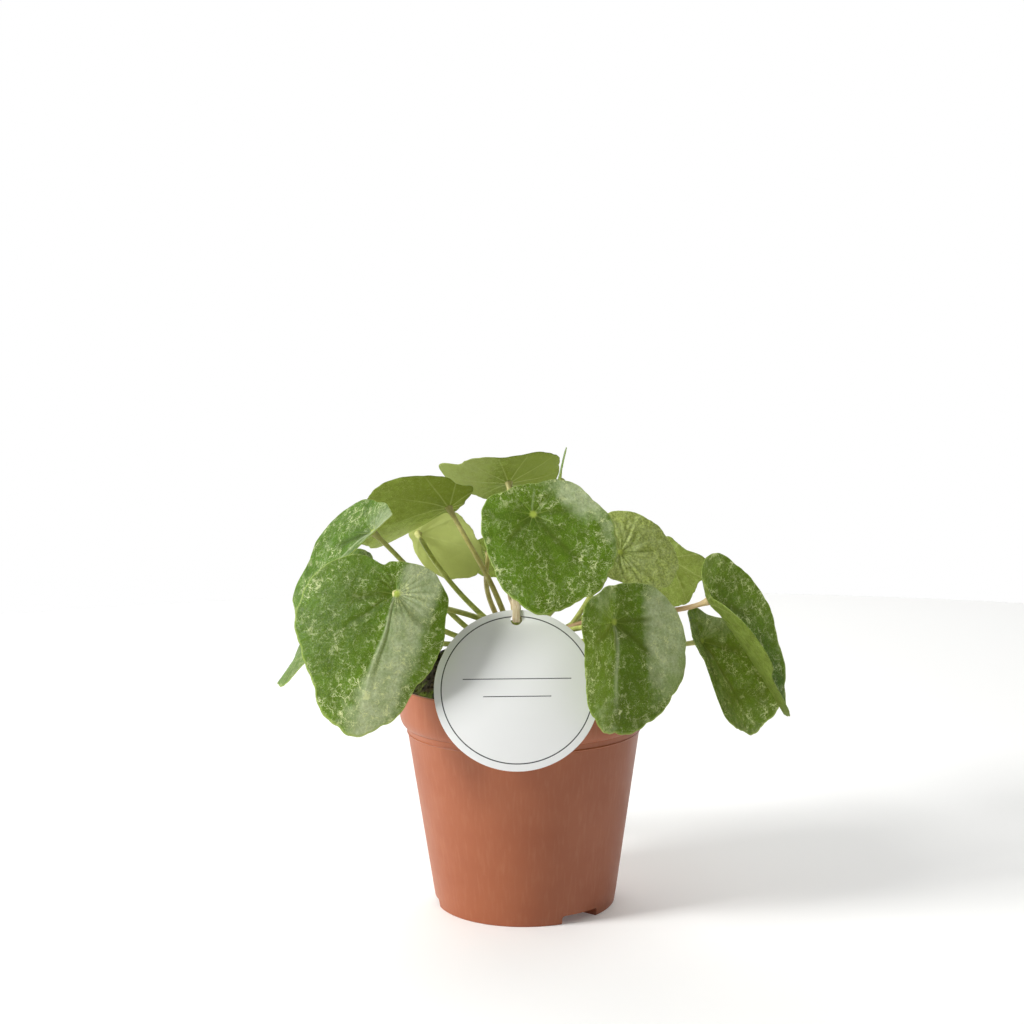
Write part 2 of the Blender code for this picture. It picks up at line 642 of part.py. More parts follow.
def build():
    clear_scene()
    parts = new_collection("potted_pilea")
    cutters = new_collection("cutters")
    cutters.hide_render = True
    terracotta = new_material("terracotta_plastic", (0.42, 0.19, 0.11), 0.42)
    peat = new_material("peat_soil", (0.03, 0.022, 0.014), 0.95)
    bark = new_material("stem_bark", (0.17, 0.15, 0.06), 0.7)
    stalk_green = new_material("leaf_stalk", (0.22, 0.23, 0.05), 0.45)
    leaf_green = new_material("leaf_blade", (0.09, 0.19, 0.03), 0.38)
    card = new_material("white_card", (0.85, 0.85, 0.83), 0.55)
    band = new_material("natural_band", (0.62, 0.5, 0.35), 0.8)

    leaves = {name: Leaf(name, values) for name, values in LEAVES.items()}
    pieces = [
        make_pot(parts, cutters, terracotta),
        make_soil(parts, cutters, peat),
        make_stem(parts, bark),
        make_tag(parts, card),
        make_loop(leaves[LOOP_HELD_BY].stalk(), parts, band),
    ]
    for leaf in leaves.values():
        pieces.append(make_stalk(leaf, parts, stalk_green))
        pieces.append(make_blade(leaf, parts, leaf_green))
    origin = bpy.data.objects.new("plant_origin", None)
    parts.objects.link(origin)
    for piece in pieces:
        piece.parent = origin


build()
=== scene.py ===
import math
import random
from functools import partial

import bmesh
import bpy
import numpy as np
from mathutils import Matrix, Vector, noise


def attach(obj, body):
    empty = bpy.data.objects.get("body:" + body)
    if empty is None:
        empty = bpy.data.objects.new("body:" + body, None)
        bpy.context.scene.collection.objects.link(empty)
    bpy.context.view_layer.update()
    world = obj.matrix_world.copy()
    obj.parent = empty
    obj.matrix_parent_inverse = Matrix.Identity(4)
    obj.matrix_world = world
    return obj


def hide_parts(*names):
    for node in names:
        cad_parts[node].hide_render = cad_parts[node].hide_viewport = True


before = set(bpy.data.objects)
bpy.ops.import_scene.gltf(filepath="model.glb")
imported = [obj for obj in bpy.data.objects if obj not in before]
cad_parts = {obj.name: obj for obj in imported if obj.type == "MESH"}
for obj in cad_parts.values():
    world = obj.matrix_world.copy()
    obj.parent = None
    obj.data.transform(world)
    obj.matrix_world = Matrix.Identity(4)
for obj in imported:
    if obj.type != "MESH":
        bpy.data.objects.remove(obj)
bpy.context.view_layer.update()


# Camera: a product photograph taken from in front and a little above the leaves, with a long
# lens. The picture is turned by 0.6 degrees, so the camera is rolled as much.
MM = 0.001
CAMERA_AT_MM = (-4.4, -711.0, 236.5)
CAMERA_LENS_MM = 52.7
CAMERA_SENSOR_MM = 36.0
CAMERA_PITCH = math.radians(86.0)
CAMERA_ROLL = math.radians(-0.63)

camera_data = bpy.data.cameras.new("product_camera")
camera_data.lens = CAMERA_LENS_MM
camera_data.sensor_width = CAMERA_SENSOR_MM
camera_data.clip_start = 0.05
camera = bpy.data.objects.new("product_camera", camera_data)
bpy.context.scene.collection.objects.link(camera)
camera.matrix_world = (
    Matrix.Translation(Vector(CAMERA_AT_MM) * MM)
    @ Matrix.Rotation(CAMERA_PITCH, 4, "X")
    @ Matrix.Rotation(CAMERA_ROLL, 4, "Z")
)
bpy.context.scene.camera = camera


# Studio: a white table under soft boxes. One strong box at the left front gives the form,
# the rest are weak, and a white backdrop behind glows through the thin leaves.
SWEEP_WHITE = "#F7F7F5"
SWEEP_RADIUS = 1.2
TABLE_GLOW = 0.1
SOFT_BOXES = (
    ("key_box", (-1.42, -0.55, 0.95), 0.5, 0.5, 33.0, (0.0, 0.0, 0.12)),
    ("top_box", (-0.6, -0.5, 1.3), 0.8, 0.8, 2.0, (0.0, 0.0, 0.12)),
    ("sheen_box", (0.6, -0.7, 1.2), 0.7, 0.7, 2.0, (0.0, 0.0, 0.12)),
    ("right_strip", (1.2, -0.3, 0.6), 0.4, 0.9, 0.4, (0.0, 0.0, 0.12)),
    ("sweep_box", (0.0, 1.3, 1.4), 2.2, 1.0, 13.0, (0.0, 0.9, 0.0)),
)
FRONT_LIGHT = 0.03
BACK_LIGHT = 0.9
BACKDROP = 1.0


def linear(colour):
    """An sRGB hex colour as linear red, green, blue and a full alpha."""
    parts = [int(colour[place:place + 2], 16) / 255.0 for place in (1, 3, 5)]
    shades = [part / 12.92 if part <= 0.04045 else ((part + 0.055) / 1.055) ** 2.4 for part in parts]
    return (*shades, 1.0)


def add_node(tree, kind, inputs=(), give=None, **settings):
    """Adds a node. Its inputs come in the order of its sockets or by name, each as a value, a hex
    colour or a socket to link. Returns its first output, or the one or the ones that give names."""
    made = tree.nodes.new("ShaderNode" + kind)
    for name, value in settings.items():
        setattr(made, name, value)
    sockets = made.inputs
    if not isinstance(inputs, dict):
        sockets = [socket for socket in made.inputs if socket.enabled]
        inputs = dict(enumerate(inputs))
    for name, value in inputs.items():
        if isinstance(value, bpy.types.NodeSocket):
            tree.links.new(value, sockets[name])
        else:
            sockets[name].default_value = linear(value) if isinstance(value, str) else value
    if isinstance(give, tuple):
        return [made.outputs[name] for name in give]
    return made.outputs[give] if give else next((out for out in made.outputs if out.enabled), None)


def new_material(name):
    """An empty node material, and the function that adds a node to it."""
    material = bpy.data.materials.new(name)
    material.use_nodes = True
    material.node_tree.nodes.clear()
    return material, partial(add_node, material.node_tree)


def new_object(name, data):
    made = bpy.data.objects.new(name, data)
    bpy.context.scene.collection.objects.link(made)
    return made


def bm_mesh(name, bm):
    mesh = bpy.data.meshes.new(name)
    bm.to_mesh(mesh)
    bm.free()
    return mesh


# The table is white acrylic with a weak light under it, as on a light table: it gives a soft,
# almost shadowless white. Its grain is drawn 40 mm wide, far coarser than real, so it shows.
sweep_acrylic, add = new_material("white_acrylic_light_table")
grain = add("TexNoise", {"Scale": 60.0, "Detail": 3.0})
relief = add("Bump", {"Height": grain, "Distance": 0.0002, "Strength": 0.1})
acrylic = add("BsdfPrincipled", {
    "Base Color": SWEEP_WHITE, "Roughness": 0.8, "Normal": relief,
    "Emission Color": "#FFFFFF", "Emission Strength": TABLE_GLOW,
})
add("OutputMaterial", (acrylic,))

bm = bmesh.new()
bmesh.ops.create_circle(bm, cap_ends=True, segments=96, radius=SWEEP_RADIUS)
sweep = new_object("studio_sweep", bm_mesh("studio_sweep", bm))
sweep.data.materials.append(sweep_acrylic)

for name, place, width, height, power, aim in SOFT_BOXES:
    lamp = bpy.data.lights.new(name, "AREA")
    lamp.shape = "RECTANGLE"
    lamp.size = width
    lamp.size_y = height
    lamp.energy = power
    box = new_object(name, lamp)
    box.location = place
    box.rotation_euler = (Vector(aim) - Vector(place)).to_track_quat("-Z", "Y").to_euler()

world = bpy.data.worlds.new("white_studio")
world.use_nodes = True
tree = world.node_tree
add = partial(add_node, tree)
seen = add("LightPath", give="Is Camera Ray")
to_back = add("SeparateXYZ", (add("TexCoord", give="Generated"),), give="Y")
glow = add("MapRange", (to_back, 0.0, 0.6, FRONT_LIGHT, BACK_LIGHT))
room = add("MapRange", (seen, 0.0, 1.0, glow, BACKDROP))
background = tree.nodes["Background"]
background.inputs["Color"].default_value = linear("#FFFFFF")
tree.links.new(room, background.inputs["Strength"])
bpy.context.scene.world = world
bpy.context.scene.view_settings.view_transform = "Standard"


# Pot: a 12 cm nursery pot, injection moulded in one piece from terracotta-coloured
# polypropylene. It has a straight collar, a fine raised line under it, and three drain channels
# moulded into its foot.
POT_HEIGHT = 105.5
RIM_RADIUS = 60.0
COLLAR_BOTTOM = 93.0
COLLAR_DRAFT = 0.8
BODY_TOP = 86.0
BODY_TOP_RADIUS = 55.9
BASE_RADIUS = 43.0
WALL = 1.3
RIM_WALL = 1.8
FLOOR = 1.5
LIP_ROUND = 0.5
FLOOR_ROUND = 1.5
FOOT_ROUND = 0.7
BEAD_Z = 83.0
BEAD_HEIGHT = 0.4
BEAD_HALF_WIDTH = 0.5
POT_STEPS = 240
POT_SHARP = math.radians(38.0)
CHANNEL_AZIMUTHS = (-54.0, 66.0, 186.0)
CHANNEL_HALF_ANGLE = 13.5
CHANNEL_HEIGHT = 4.0
CHANNEL_START = 18.0
CHANNEL_CORNER = 1.3
DRAIN_RADIUS = 4.0
DRAIN_AT = 30.0
TERRACOTTA = "#A45D38"
TERRACOTTA_DEEP = "#8F4828"
CHALKY_BLOOM = "#B37654"


def direction(azimuth, elevation):
    """A unit vector from degrees round +Z from +X, and degrees above level."""
    around, above = math.radians(azimuth), math.radians(elevation)
    flat = math.cos(above)
    return Vector((flat * math.cos(around), flat * math.sin(around), math.sin(above)))


def turned(azimuth, radius, z):
    """A point at an angle round the pot's axis, a distance from it and a height."""
    return direction(azimuth, 0.0) * radius + Vector((0.0, 0.0, z))


def ring_faces(rings):
    """Quads between each ring of points and the next, once round."""
    quads = []
    for ring, after in zip(rings, rings[1:]):
        quads += zip(ring, ring[1:] + ring[:1], after[1:] + after[:1], after)
    return quads


def add_piece(name, form, materials, node):
    """A smooth piece from a bmesh or a mesh, in a solid's place, riding on the plant's one body."""
    mesh = form if isinstance(form, bpy.types.Mesh) else bm_mesh(name, form)
    for material in materials:
        mesh.materials.append(material)
    mesh.shade_smooth()
    made = new_object(name, mesh)
    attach(made, "root")
    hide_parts(node)
    return made


def arc(centre, radius, start, end):
    """Five points (radius, z) on an arc, from a start to an end angle in degrees."""
    angles = [math.radians(start + (end - start) * step / 4) for step in range(5)]
    return [(centre[0] + radius * math.cos(a), centre[1] + radius * math.sin(a)) for a in angles]


def wall_radius(z):
    return BASE_RADIUS + (BODY_TOP_RADIUS - BASE_RADIUS) * z / BODY_TOP


def shoulder(inset, count):
    """The quarter curve that leads from the collar in to the body."""
    step_in = RIM_RADIUS - COLLAR_DRAFT - BODY_TOP_RADIUS
    turns = [0.5 * math.pi * step / (count - 1) for step in range(count)]
    return [(
        BODY_TOP_RADIUS + step_in * math.cos(turn) - inset,
        COLLAR_BOTTOM - (COLLAR_BOTTOM - BODY_TOP) * math.sin(turn),
    ) for turn in turns]


def pot_profile():
    """(radius, z) from the floor's middle up the inside, over the lip and down the outside."""
    fillet_at = (wall_radius(FLOOR) - WALL - FLOOR_ROUND, FLOOR + FLOOR_ROUND)
    lip_z = POT_HEIGHT - LIP_ROUND
    inside = [(0.0, FLOOR)] + arc(fillet_at, FLOOR_ROUND, -90.0, 0.0) + shoulder(WALL, 9)[::-1]
    top = [(RIM_RADIUS - RIM_WALL, lip_z)]
    top += arc((RIM_RADIUS - RIM_WALL + LIP_ROUND, lip_z), LIP_ROUND, 180.0, 90.0)
    top += arc((RIM_RADIUS - LIP_ROUND, lip_z), LIP_ROUND, 90.0, 0.0)
    bead = []
    for share in (1.0, 0.6, 0.0, -0.6, -1.0):
        z = BEAD_Z + BEAD_HALF_WIDTH * share
        bead.append((wall_radius(z) + BEAD_HEIGHT * math.cos(0.5 * math.pi * share), z))
    body = [(wall_radius(z), z) for z in (60.0, 40.0, 20.0, CHANNEL_HEIGHT + 2.0)]
    foot = arc((BASE_RADIUS - FOOT_ROUND, FOOT_ROUND), FOOT_ROUND, 0.0, -90.0) + [(0.0, 0.0)]
    return inside + top + shoulder(0.0, 11) + bead + body + foot


def channel_cutter(azimuth, half_angle, radii, heights, corner):
    """A sector of a ring with rounded upper corners, used as a Boolean's operand."""
    across = math.degrees(corner / (0.5 * (radii[0] + radii[1])))
    turns = [math.radians(15.0 * step) for step in range(7)]
    half = [(half_angle - across * (1.0 - math.cos(turn)), heights[1] - corner * (1.0 - math.sin(turn)))
            for turn in turns]
    half += [((half_angle - across) * share, heights[1]) for share in (0.66, 0.33)]
    bm = bmesh.new()
    columns = []
    for angle, top in half + [(0.0, heights[1])] + [(-angle, z) for angle, z in reversed(half)]:
        corners = ((radii[0], heights[0]), (radii[1], heights[0]), (radii[1], top), (radii[0], top))
        columns.append([bm.verts.new(turned(azimuth + angle, *spot) * MM) for spot in corners])
    for face in ring_faces(columns) + [columns[0], columns[-1]]:
        bm.faces.new(face)
    bmesh.ops.recalc_face_normals(bm, faces=bm.faces)
    return bm


def apply_boolean(target, form, operation):
    """Joins a form to a piece, or cuts it out."""
    tool = new_object("boolean_form", bm_mesh("boolean_form", form))
    modifier = target.modifiers.new(operation, "BOOLEAN")
    modifier.operation = operation
    modifier.solver = "EXACT"
    modifier.object = tool
    graph = bpy.context.evaluated_depsgraph_get()
    done = bpy.data.meshes.new_from_object(target.evaluated_get(graph))
    target.modifiers.clear()
    target.data = done
    bpy.data.objects.remove(tool, do_unlink=True)


# Moulded polypropylene: satin, with a faint waxy bloom, and draw marks that run up the wall
# where the mould slid off. It gives soft, wide highlights and no sharp reflections. The marks are
# 1.4 mm wide, the clouds 26 mm, and the pitting 0.4 mm, coarser than real so that it shows.
polypropylene, add = new_material("terracotta_polypropylene_moulded")
place = add("TexCoord", give="Object")
stretched = add("Mapping", {"Vector": place, "Scale": (1.0, 1.0, 0.02)})
draw_marks = add("TexNoise", {"Vector": stretched, "Scale": 700.0, "Detail": 3.0, "Roughness": 0.55})
clouds = add("TexNoise", {"Vector": place, "Scale": 38.0, "Detail": 4.0, "Roughness": 0.6})
pitting = add("TexNoise", {"Vector": place, "Scale": 2600.0, "Detail": 2.0})
clouded = add("MapRange", (clouds, 0.3, 0.75, 0.15, 0.5))
bloomed = add("MapRange", (draw_marks, 0.5, 0.85, 0.0, 0.35))
colour = TERRACOTTA
for share, paint in ((clouded, TERRACOTTA_DEEP), (bloomed, CHALKY_BLOOM)):
    colour = add("Mix", (share, colour, paint), data_type="RGBA")
marks_relief = add("Bump", {"Height": draw_marks, "Distance": 0.00006, "Strength": 0.35})
relief = add("Bump", {
    "Height": pitting, "Distance": 0.00003, "Strength": 0.5, "Normal": marks_relief,
})
gloss = add("MapRange", (clouds, 0.3, 0.7, 0.38, 0.5))
plastic = add("BsdfPrincipled", {"Base Color": colour, "Roughness": gloss, "IOR": 1.49, "Normal": relief})
add("OutputMaterial", (plastic,))

bm = bmesh.new()
outline = [bm.verts.new((radius * MM, 0.0, z * MM)) for radius, z in pot_profile()]
rungs = [bm.edges.new(pair) for pair in zip(outline, outline[1:])]
bmesh.ops.spin(
    bm, geom=outline + rungs, cent=(0, 0, 0), axis=(0, 0, 1), angle=2.0 * math.pi,
    steps=POT_STEPS, use_merge=True, use_duplicate=False,
)
bmesh.ops.remove_doubles(bm, verts=bm.verts, dist=0.00001)
bmesh.ops.recalc_face_normals(bm, faces=bm.faces)
pot = add_piece("nursery_pot", bm, [polypropylene], "pot")
for azimuth in CHANNEL_AZIMUTHS:
    roof_angle = CHANNEL_HALF_ANGLE + math.degrees(FLOOR / DRAIN_AT)
    apply_boolean(pot, channel_cutter(
        azimuth, roof_angle, (CHANNEL_START - FLOOR, BASE_RADIUS - 0.5 * WALL),
        (0.5 * FLOOR, CHANNEL_HEIGHT + FLOOR), CHANNEL_CORNER + FLOOR), "UNION")
for azimuth in CHANNEL_AZIMUTHS:
    apply_boolean(pot, channel_cutter(
        azimuth, CHANNEL_HALF_ANGLE, (CHANNEL_START, RIM_RADIUS),
        (-CHANNEL_HEIGHT, CHANNEL_HEIGHT), CHANNEL_CORNER), "DIFFERENCE")
    bm = bmesh.new()
    bmesh.ops.create_cone(
        bm, cap_ends=True, segments=48, radius1=DRAIN_RADIUS * MM, radius2=DRAIN_RADIUS * MM,
        depth=4.0 * FLOOR * MM,
        matrix=Matrix.Translation(turned(azimuth, DRAIN_AT, CHANNEL_HEIGHT + 0.5 * FLOOR) * MM),
    )
    apply_boolean(pot, bm, "DIFFERENCE")
pot.data.set_sharp_from_angle(angle=POT_SHARP)


# Soil: a damp peat mix, poured in and pressed round the root ball, heaped above the rim at the
# crown. Crumbs of peat and short fibres lie loose on it, with specks of moss.
SOIL_EDGE = 103.0
SOIL_HEAP = 13.5
SOIL_SHOULDER = 17.0
SOIL_SIDE_HEAP = (-37.0, 14.0, 2.2, 12.0)
SOIL_BUMP = 0.7
SOIL_BUMP_SPAN = 3.4
STEM_RADIUS = 6.3
GAP = 0.3
SOIL_RINGS = 64
SOIL_SPOKES = 180
CRUMB_ROUGH = 0.9
LUMP_SPANS = (4.0, 1.7, 0.9)
MIDDLING_LUMPS = 0.6
FINE_LUMPS = 0.4
SOIL_SINK = 0.3
CRUMBS = 900
CRUMB_SIZES = (0.5, 1.7)
CRUMB_SQUASH = ((0.7, 1.2), (0.7, 1.2), (0.5, 0.9))
CRUMB_JAG = 0.35
CRUMB_RISE = 0.15
CRUMB_MARGIN = 2.0
FIBRES = 70
FIBRE_LIFT = 0.35
FIBRE_MARGIN = 6.0
FIBRE_TURN = 25.0
FIBRE_THICKNESS = (0.14, 0.3)
FIBRE_STEP = (0.7, 1.5)
FIBRE_JOINTS = 6
PEAT = "#1B170B"
PEAT_DRY = "#382D1A"
MOSS = "#5E6E22"


def smooth_step(value):
    """An even rise from 0 to 1 for a number or an array, with soft ends."""
    value = np.clip(value, 0.0, 1.0)
    return value * value * (3.0 - 2.0 * value)


def soil_height(x, y):
    """The heaped surface in mm, as the solid model has it."""
    reach = math.hypot(x, y)
    heap = SOIL_HEAP * smooth_step((RIM_RADIUS - WALL - GAP - reach) / SOIL_SHOULDER)
    side_x, side_y, side_height, side_spread = SOIL_SIDE_HEAP
    away = math.hypot(x - side_x, y - side_y) / side_spread
    side = side_height * math.exp(-(away ** 2))
    level_at_stem = smooth_step((reach - STEM_RADIUS - 3.0) / SOIL_SHOULDER)
    waves = math.sin(x / SOIL_BUMP_SPAN + 1.0) * math.sin(y / SOIL_BUMP_SPAN + 0.4)
    return SOIL_EDGE + heap + side + SOIL_BUMP * waves * level_at_stem


def on_soil(spot, lift=0.0):
    """The place on the surface over a spot, with its lumps: coarse, middling and fine ones."""
    here = Vector((spot.x, spot.y, 0.0))
    coarse, middling, fine = (noise.noise(here / span) for span in LUMP_SPANS)
    lumps = coarse + MIDDLING_LUMPS * middling + FINE_LUMPS * abs(fine)
    height = soil_height(spot.x, spot.y) + CRUMB_ROUGH * lumps - SOIL_SINK + lift
    return here + Vector((0.0, 0.0, height))


# Damp peat: nearly black and matt, dry crumbs browner, with moss in patches 13 mm wide. Lumps are
# 4 mm and grains 1 mm wide. It drinks the light, so that only crumbs at the edge catch any.
peat, add = new_material("damp_peat_mix")
place = add("TexCoord", give="Object")
grains = add("TexVoronoi", {"Vector": place, "Scale": 900.0})
patches = add("TexNoise", {"Vector": place, "Scale": 260.0, "Detail": 5.0, "Roughness": 0.7})
moss_patches = add("TexNoise", {"Vector": place, "Scale": 75.0, "Detail": 6.0, "Roughness": 0.75})
dried = add("MapRange", (patches, 0.45, 0.72))
mossy = add("MapRange", (moss_patches, 0.51, 0.68, 0.0, 0.8))
colour = PEAT
for share, paint in ((dried, PEAT_DRY), (mossy, MOSS)):
    colour = add("Mix", (share, colour, paint), data_type="RGBA")
lump_relief = add("Bump", {"Height": patches, "Distance": 0.0006, "Strength": 0.8})
relief = add("Bump", {"Height": grains, "Distance": 0.0004, "Strength": 0.6, "Normal": lump_relief})
damp = add("BsdfPrincipled", {
    "Base Color": colour, "Roughness": 0.92, "Specular IOR Level": 0.2, "Normal": relief,
})
add("OutputMaterial", (damp,))

bm = bmesh.new()
inner = RIM_RADIUS - RIM_WALL - GAP
floor_z = CHANNEL_HEIGHT + FLOOR + GAP
side_profile = [(wall_radius(floor_z) - WALL - GAP, floor_z)] + shoulder(WALL + GAP, 5)[::-1]
side_profile.append((inner, SOIL_EDGE - 1.0))
spokes = [360.0 * spoke / SOIL_SPOKES for spoke in range(SOIL_SPOKES)]
rings = [[bm.verts.new(turned(spoke, radius, z) * MM) for spoke in spokes] for radius, z in side_profile]
for step in range(SOIL_RINGS):
    radius = inner * (1.0 - step / SOIL_RINGS)
    rings.append([bm.verts.new(on_soil(turned(spoke, radius, 0.0)) * MM) for spoke in spokes])
middle = bm.verts.new(on_soil(Vector()) * MM)
for face in ring_faces(rings):
    bm.faces.new(face)
for here, after in zip(rings[-1], rings[-1][1:] + rings[-1][:1]):
    bm.faces.new((here, after, middle))
bm.faces.new(rings[0][::-1])

chance = random.Random(7)
for _ in range(CRUMBS):
    reach = (inner - CRUMB_MARGIN) * math.sqrt(chance.uniform(0.02, 1.0))
    out = direction(chance.uniform(0.0, 360.0), 0.0) * reach
    size = chance.triangular(*CRUMB_SIZES, CRUMB_SIZES[0])
    made = bmesh.ops.create_icosphere(bm, subdivisions=1, radius=size * MM)["verts"]
    squash = Vector([chance.uniform(*span) for span in CRUMB_SQUASH])
    spin = Matrix.Rotation(chance.uniform(0.0, math.pi), 3, "Z")
    lift = on_soil(out, CRUMB_RISE * size) * MM
    for vert in made:
        jag = 1.0 + CRUMB_JAG * noise.noise(vert.co / MM * 1.7 + out)
        vert.co = spin @ Vector(a * b for a, b in zip(vert.co * jag, squash)) + lift
for _ in range(FIBRES):
    reach = (inner - FIBRE_MARGIN) * math.sqrt(chance.uniform(0.05, 1.0))
    spine = [direction(chance.uniform(0.0, 360.0), 0.0) * reach]
    heading = chance.uniform(0.0, 360.0)
    turn = chance.uniform(-FIBRE_TURN, FIBRE_TURN)
    thick = chance.uniform(*FIBRE_THICKNESS)
    for step in range(FIBRE_JOINTS):
        spine.append(spine[-1] + direction(heading + turn * step, 0.0) * chance.uniform(*FIBRE_STEP))
    rings = []
    for number, spot in enumerate(spot for spot in spine if spot.length < inner - 1.0):
        side = direction(heading + turn * number + 90.0, 0.0) * thick
        up = Vector((0.0, 0.0, thick))
        rings.append([bm.verts.new((on_soil(spot, FIBRE_LIFT) + offset) * MM)
                      for offset in (side, up, -side, -up)])
    for face in ring_faces(rings) + [rings[0], rings[-1][::-1]]:
        bm.faces.new(face)
bmesh.ops.recalc_face_normals(bm, faces=bm.faces)
add_piece("peat_and_roots", bm, [peat], "soil")


# Stem: the short green-brown crown of the plant. Its skin is corky, ringed with the scars of
# leaves that have fallen, and it ends in a blunt bud between the newest stalks.
STEM_FOOT = 98.0
STEM_TOP = 136.0
BUD_FOOT = 129.0
STEM_SPOKES = 48
STEM_RINGS = 70
SCAR_SPACING = 3.5
SCAR_DEPTH = 0.5
BARK_ROUGH = 0.35
BARK_ROUGH_MOST = 0.15
BARK_INSET = 0.2
BUD_TIP_RADIUS = 0.05
BARK = "#6B6234"
BARK_PALE = "#93915A"
BARK_SCAR = "#4C3B24"

# Young bark: corky and dry, in bands about 1.5 mm high, so it is matt and gives no highlight.
bark, add = new_material("young_corky_bark")
banded = add("Mapping", {"Vector": add("TexCoord", give="Object"), "Scale": (0.5, 0.5, 1.6)})
cork = add("TexNoise", {"Vector": banded, "Scale": 420.0, "Detail": 5.0, "Roughness": 0.65})
pale = add("MapRange", (cork, 0.35, 0.65))
scarred = add("MapRange", (cork, 0.62, 0.72))
colour = BARK
for share, paint in ((pale, BARK_PALE), (scarred, BARK_SCAR)):
    colour = add("Mix", (share, colour, paint), data_type="RGBA")
relief = add("Bump", {"Height": cork, "Distance": 0.0004, "Strength": 0.7})
corky = add("BsdfPrincipled", {"Base Color": colour, "Roughness": 0.7, "IOR": 1.45, "Normal": relief})
add("OutputMaterial", (corky,))

bm = bmesh.new()
rings = []
for level in range(STEM_RINGS + 1):
    z = STEM_FOOT + (STEM_TOP - STEM_FOOT) * level / STEM_RINGS
    taper = math.sqrt(max(0.0, 1.0 - max(0.0, (z - BUD_FOOT) / (STEM_TOP - BUD_FOOT)) ** 2))
    ring = []
    for spoke in range(STEM_SPOKES):
        azimuth = 360.0 * spoke / STEM_SPOKES
        scar = abs(math.sin(math.pi * (z / SCAR_SPACING + azimuth / 360.0)))
        rough = min(BARK_ROUGH * noise.noise(turned(azimuth, 2.5, 0.6 * z)), BARK_ROUGH_MOST)
        radius = (STEM_RADIUS - SCAR_DEPTH * (1.0 - scar) ** 3 - BARK_INSET + rough) * taper
        ring.append(bm.verts.new(turned(azimuth, max(radius, BUD_TIP_RADIUS), z) * MM))
    rings.append(ring)
for face in ring_faces(rings) + [rings[0][::-1], rings[-1]]:
    bm.faces.new(face)
add_piece("plant_stem", bm, [bark], "stem")


# Leaf blades: each is one round, slightly fleshy blade that its stalk joins from below, with a
# scalloped edge. Both skins and the tissue between them grew as one thin sheet, and each blade
# grew with its own bends.

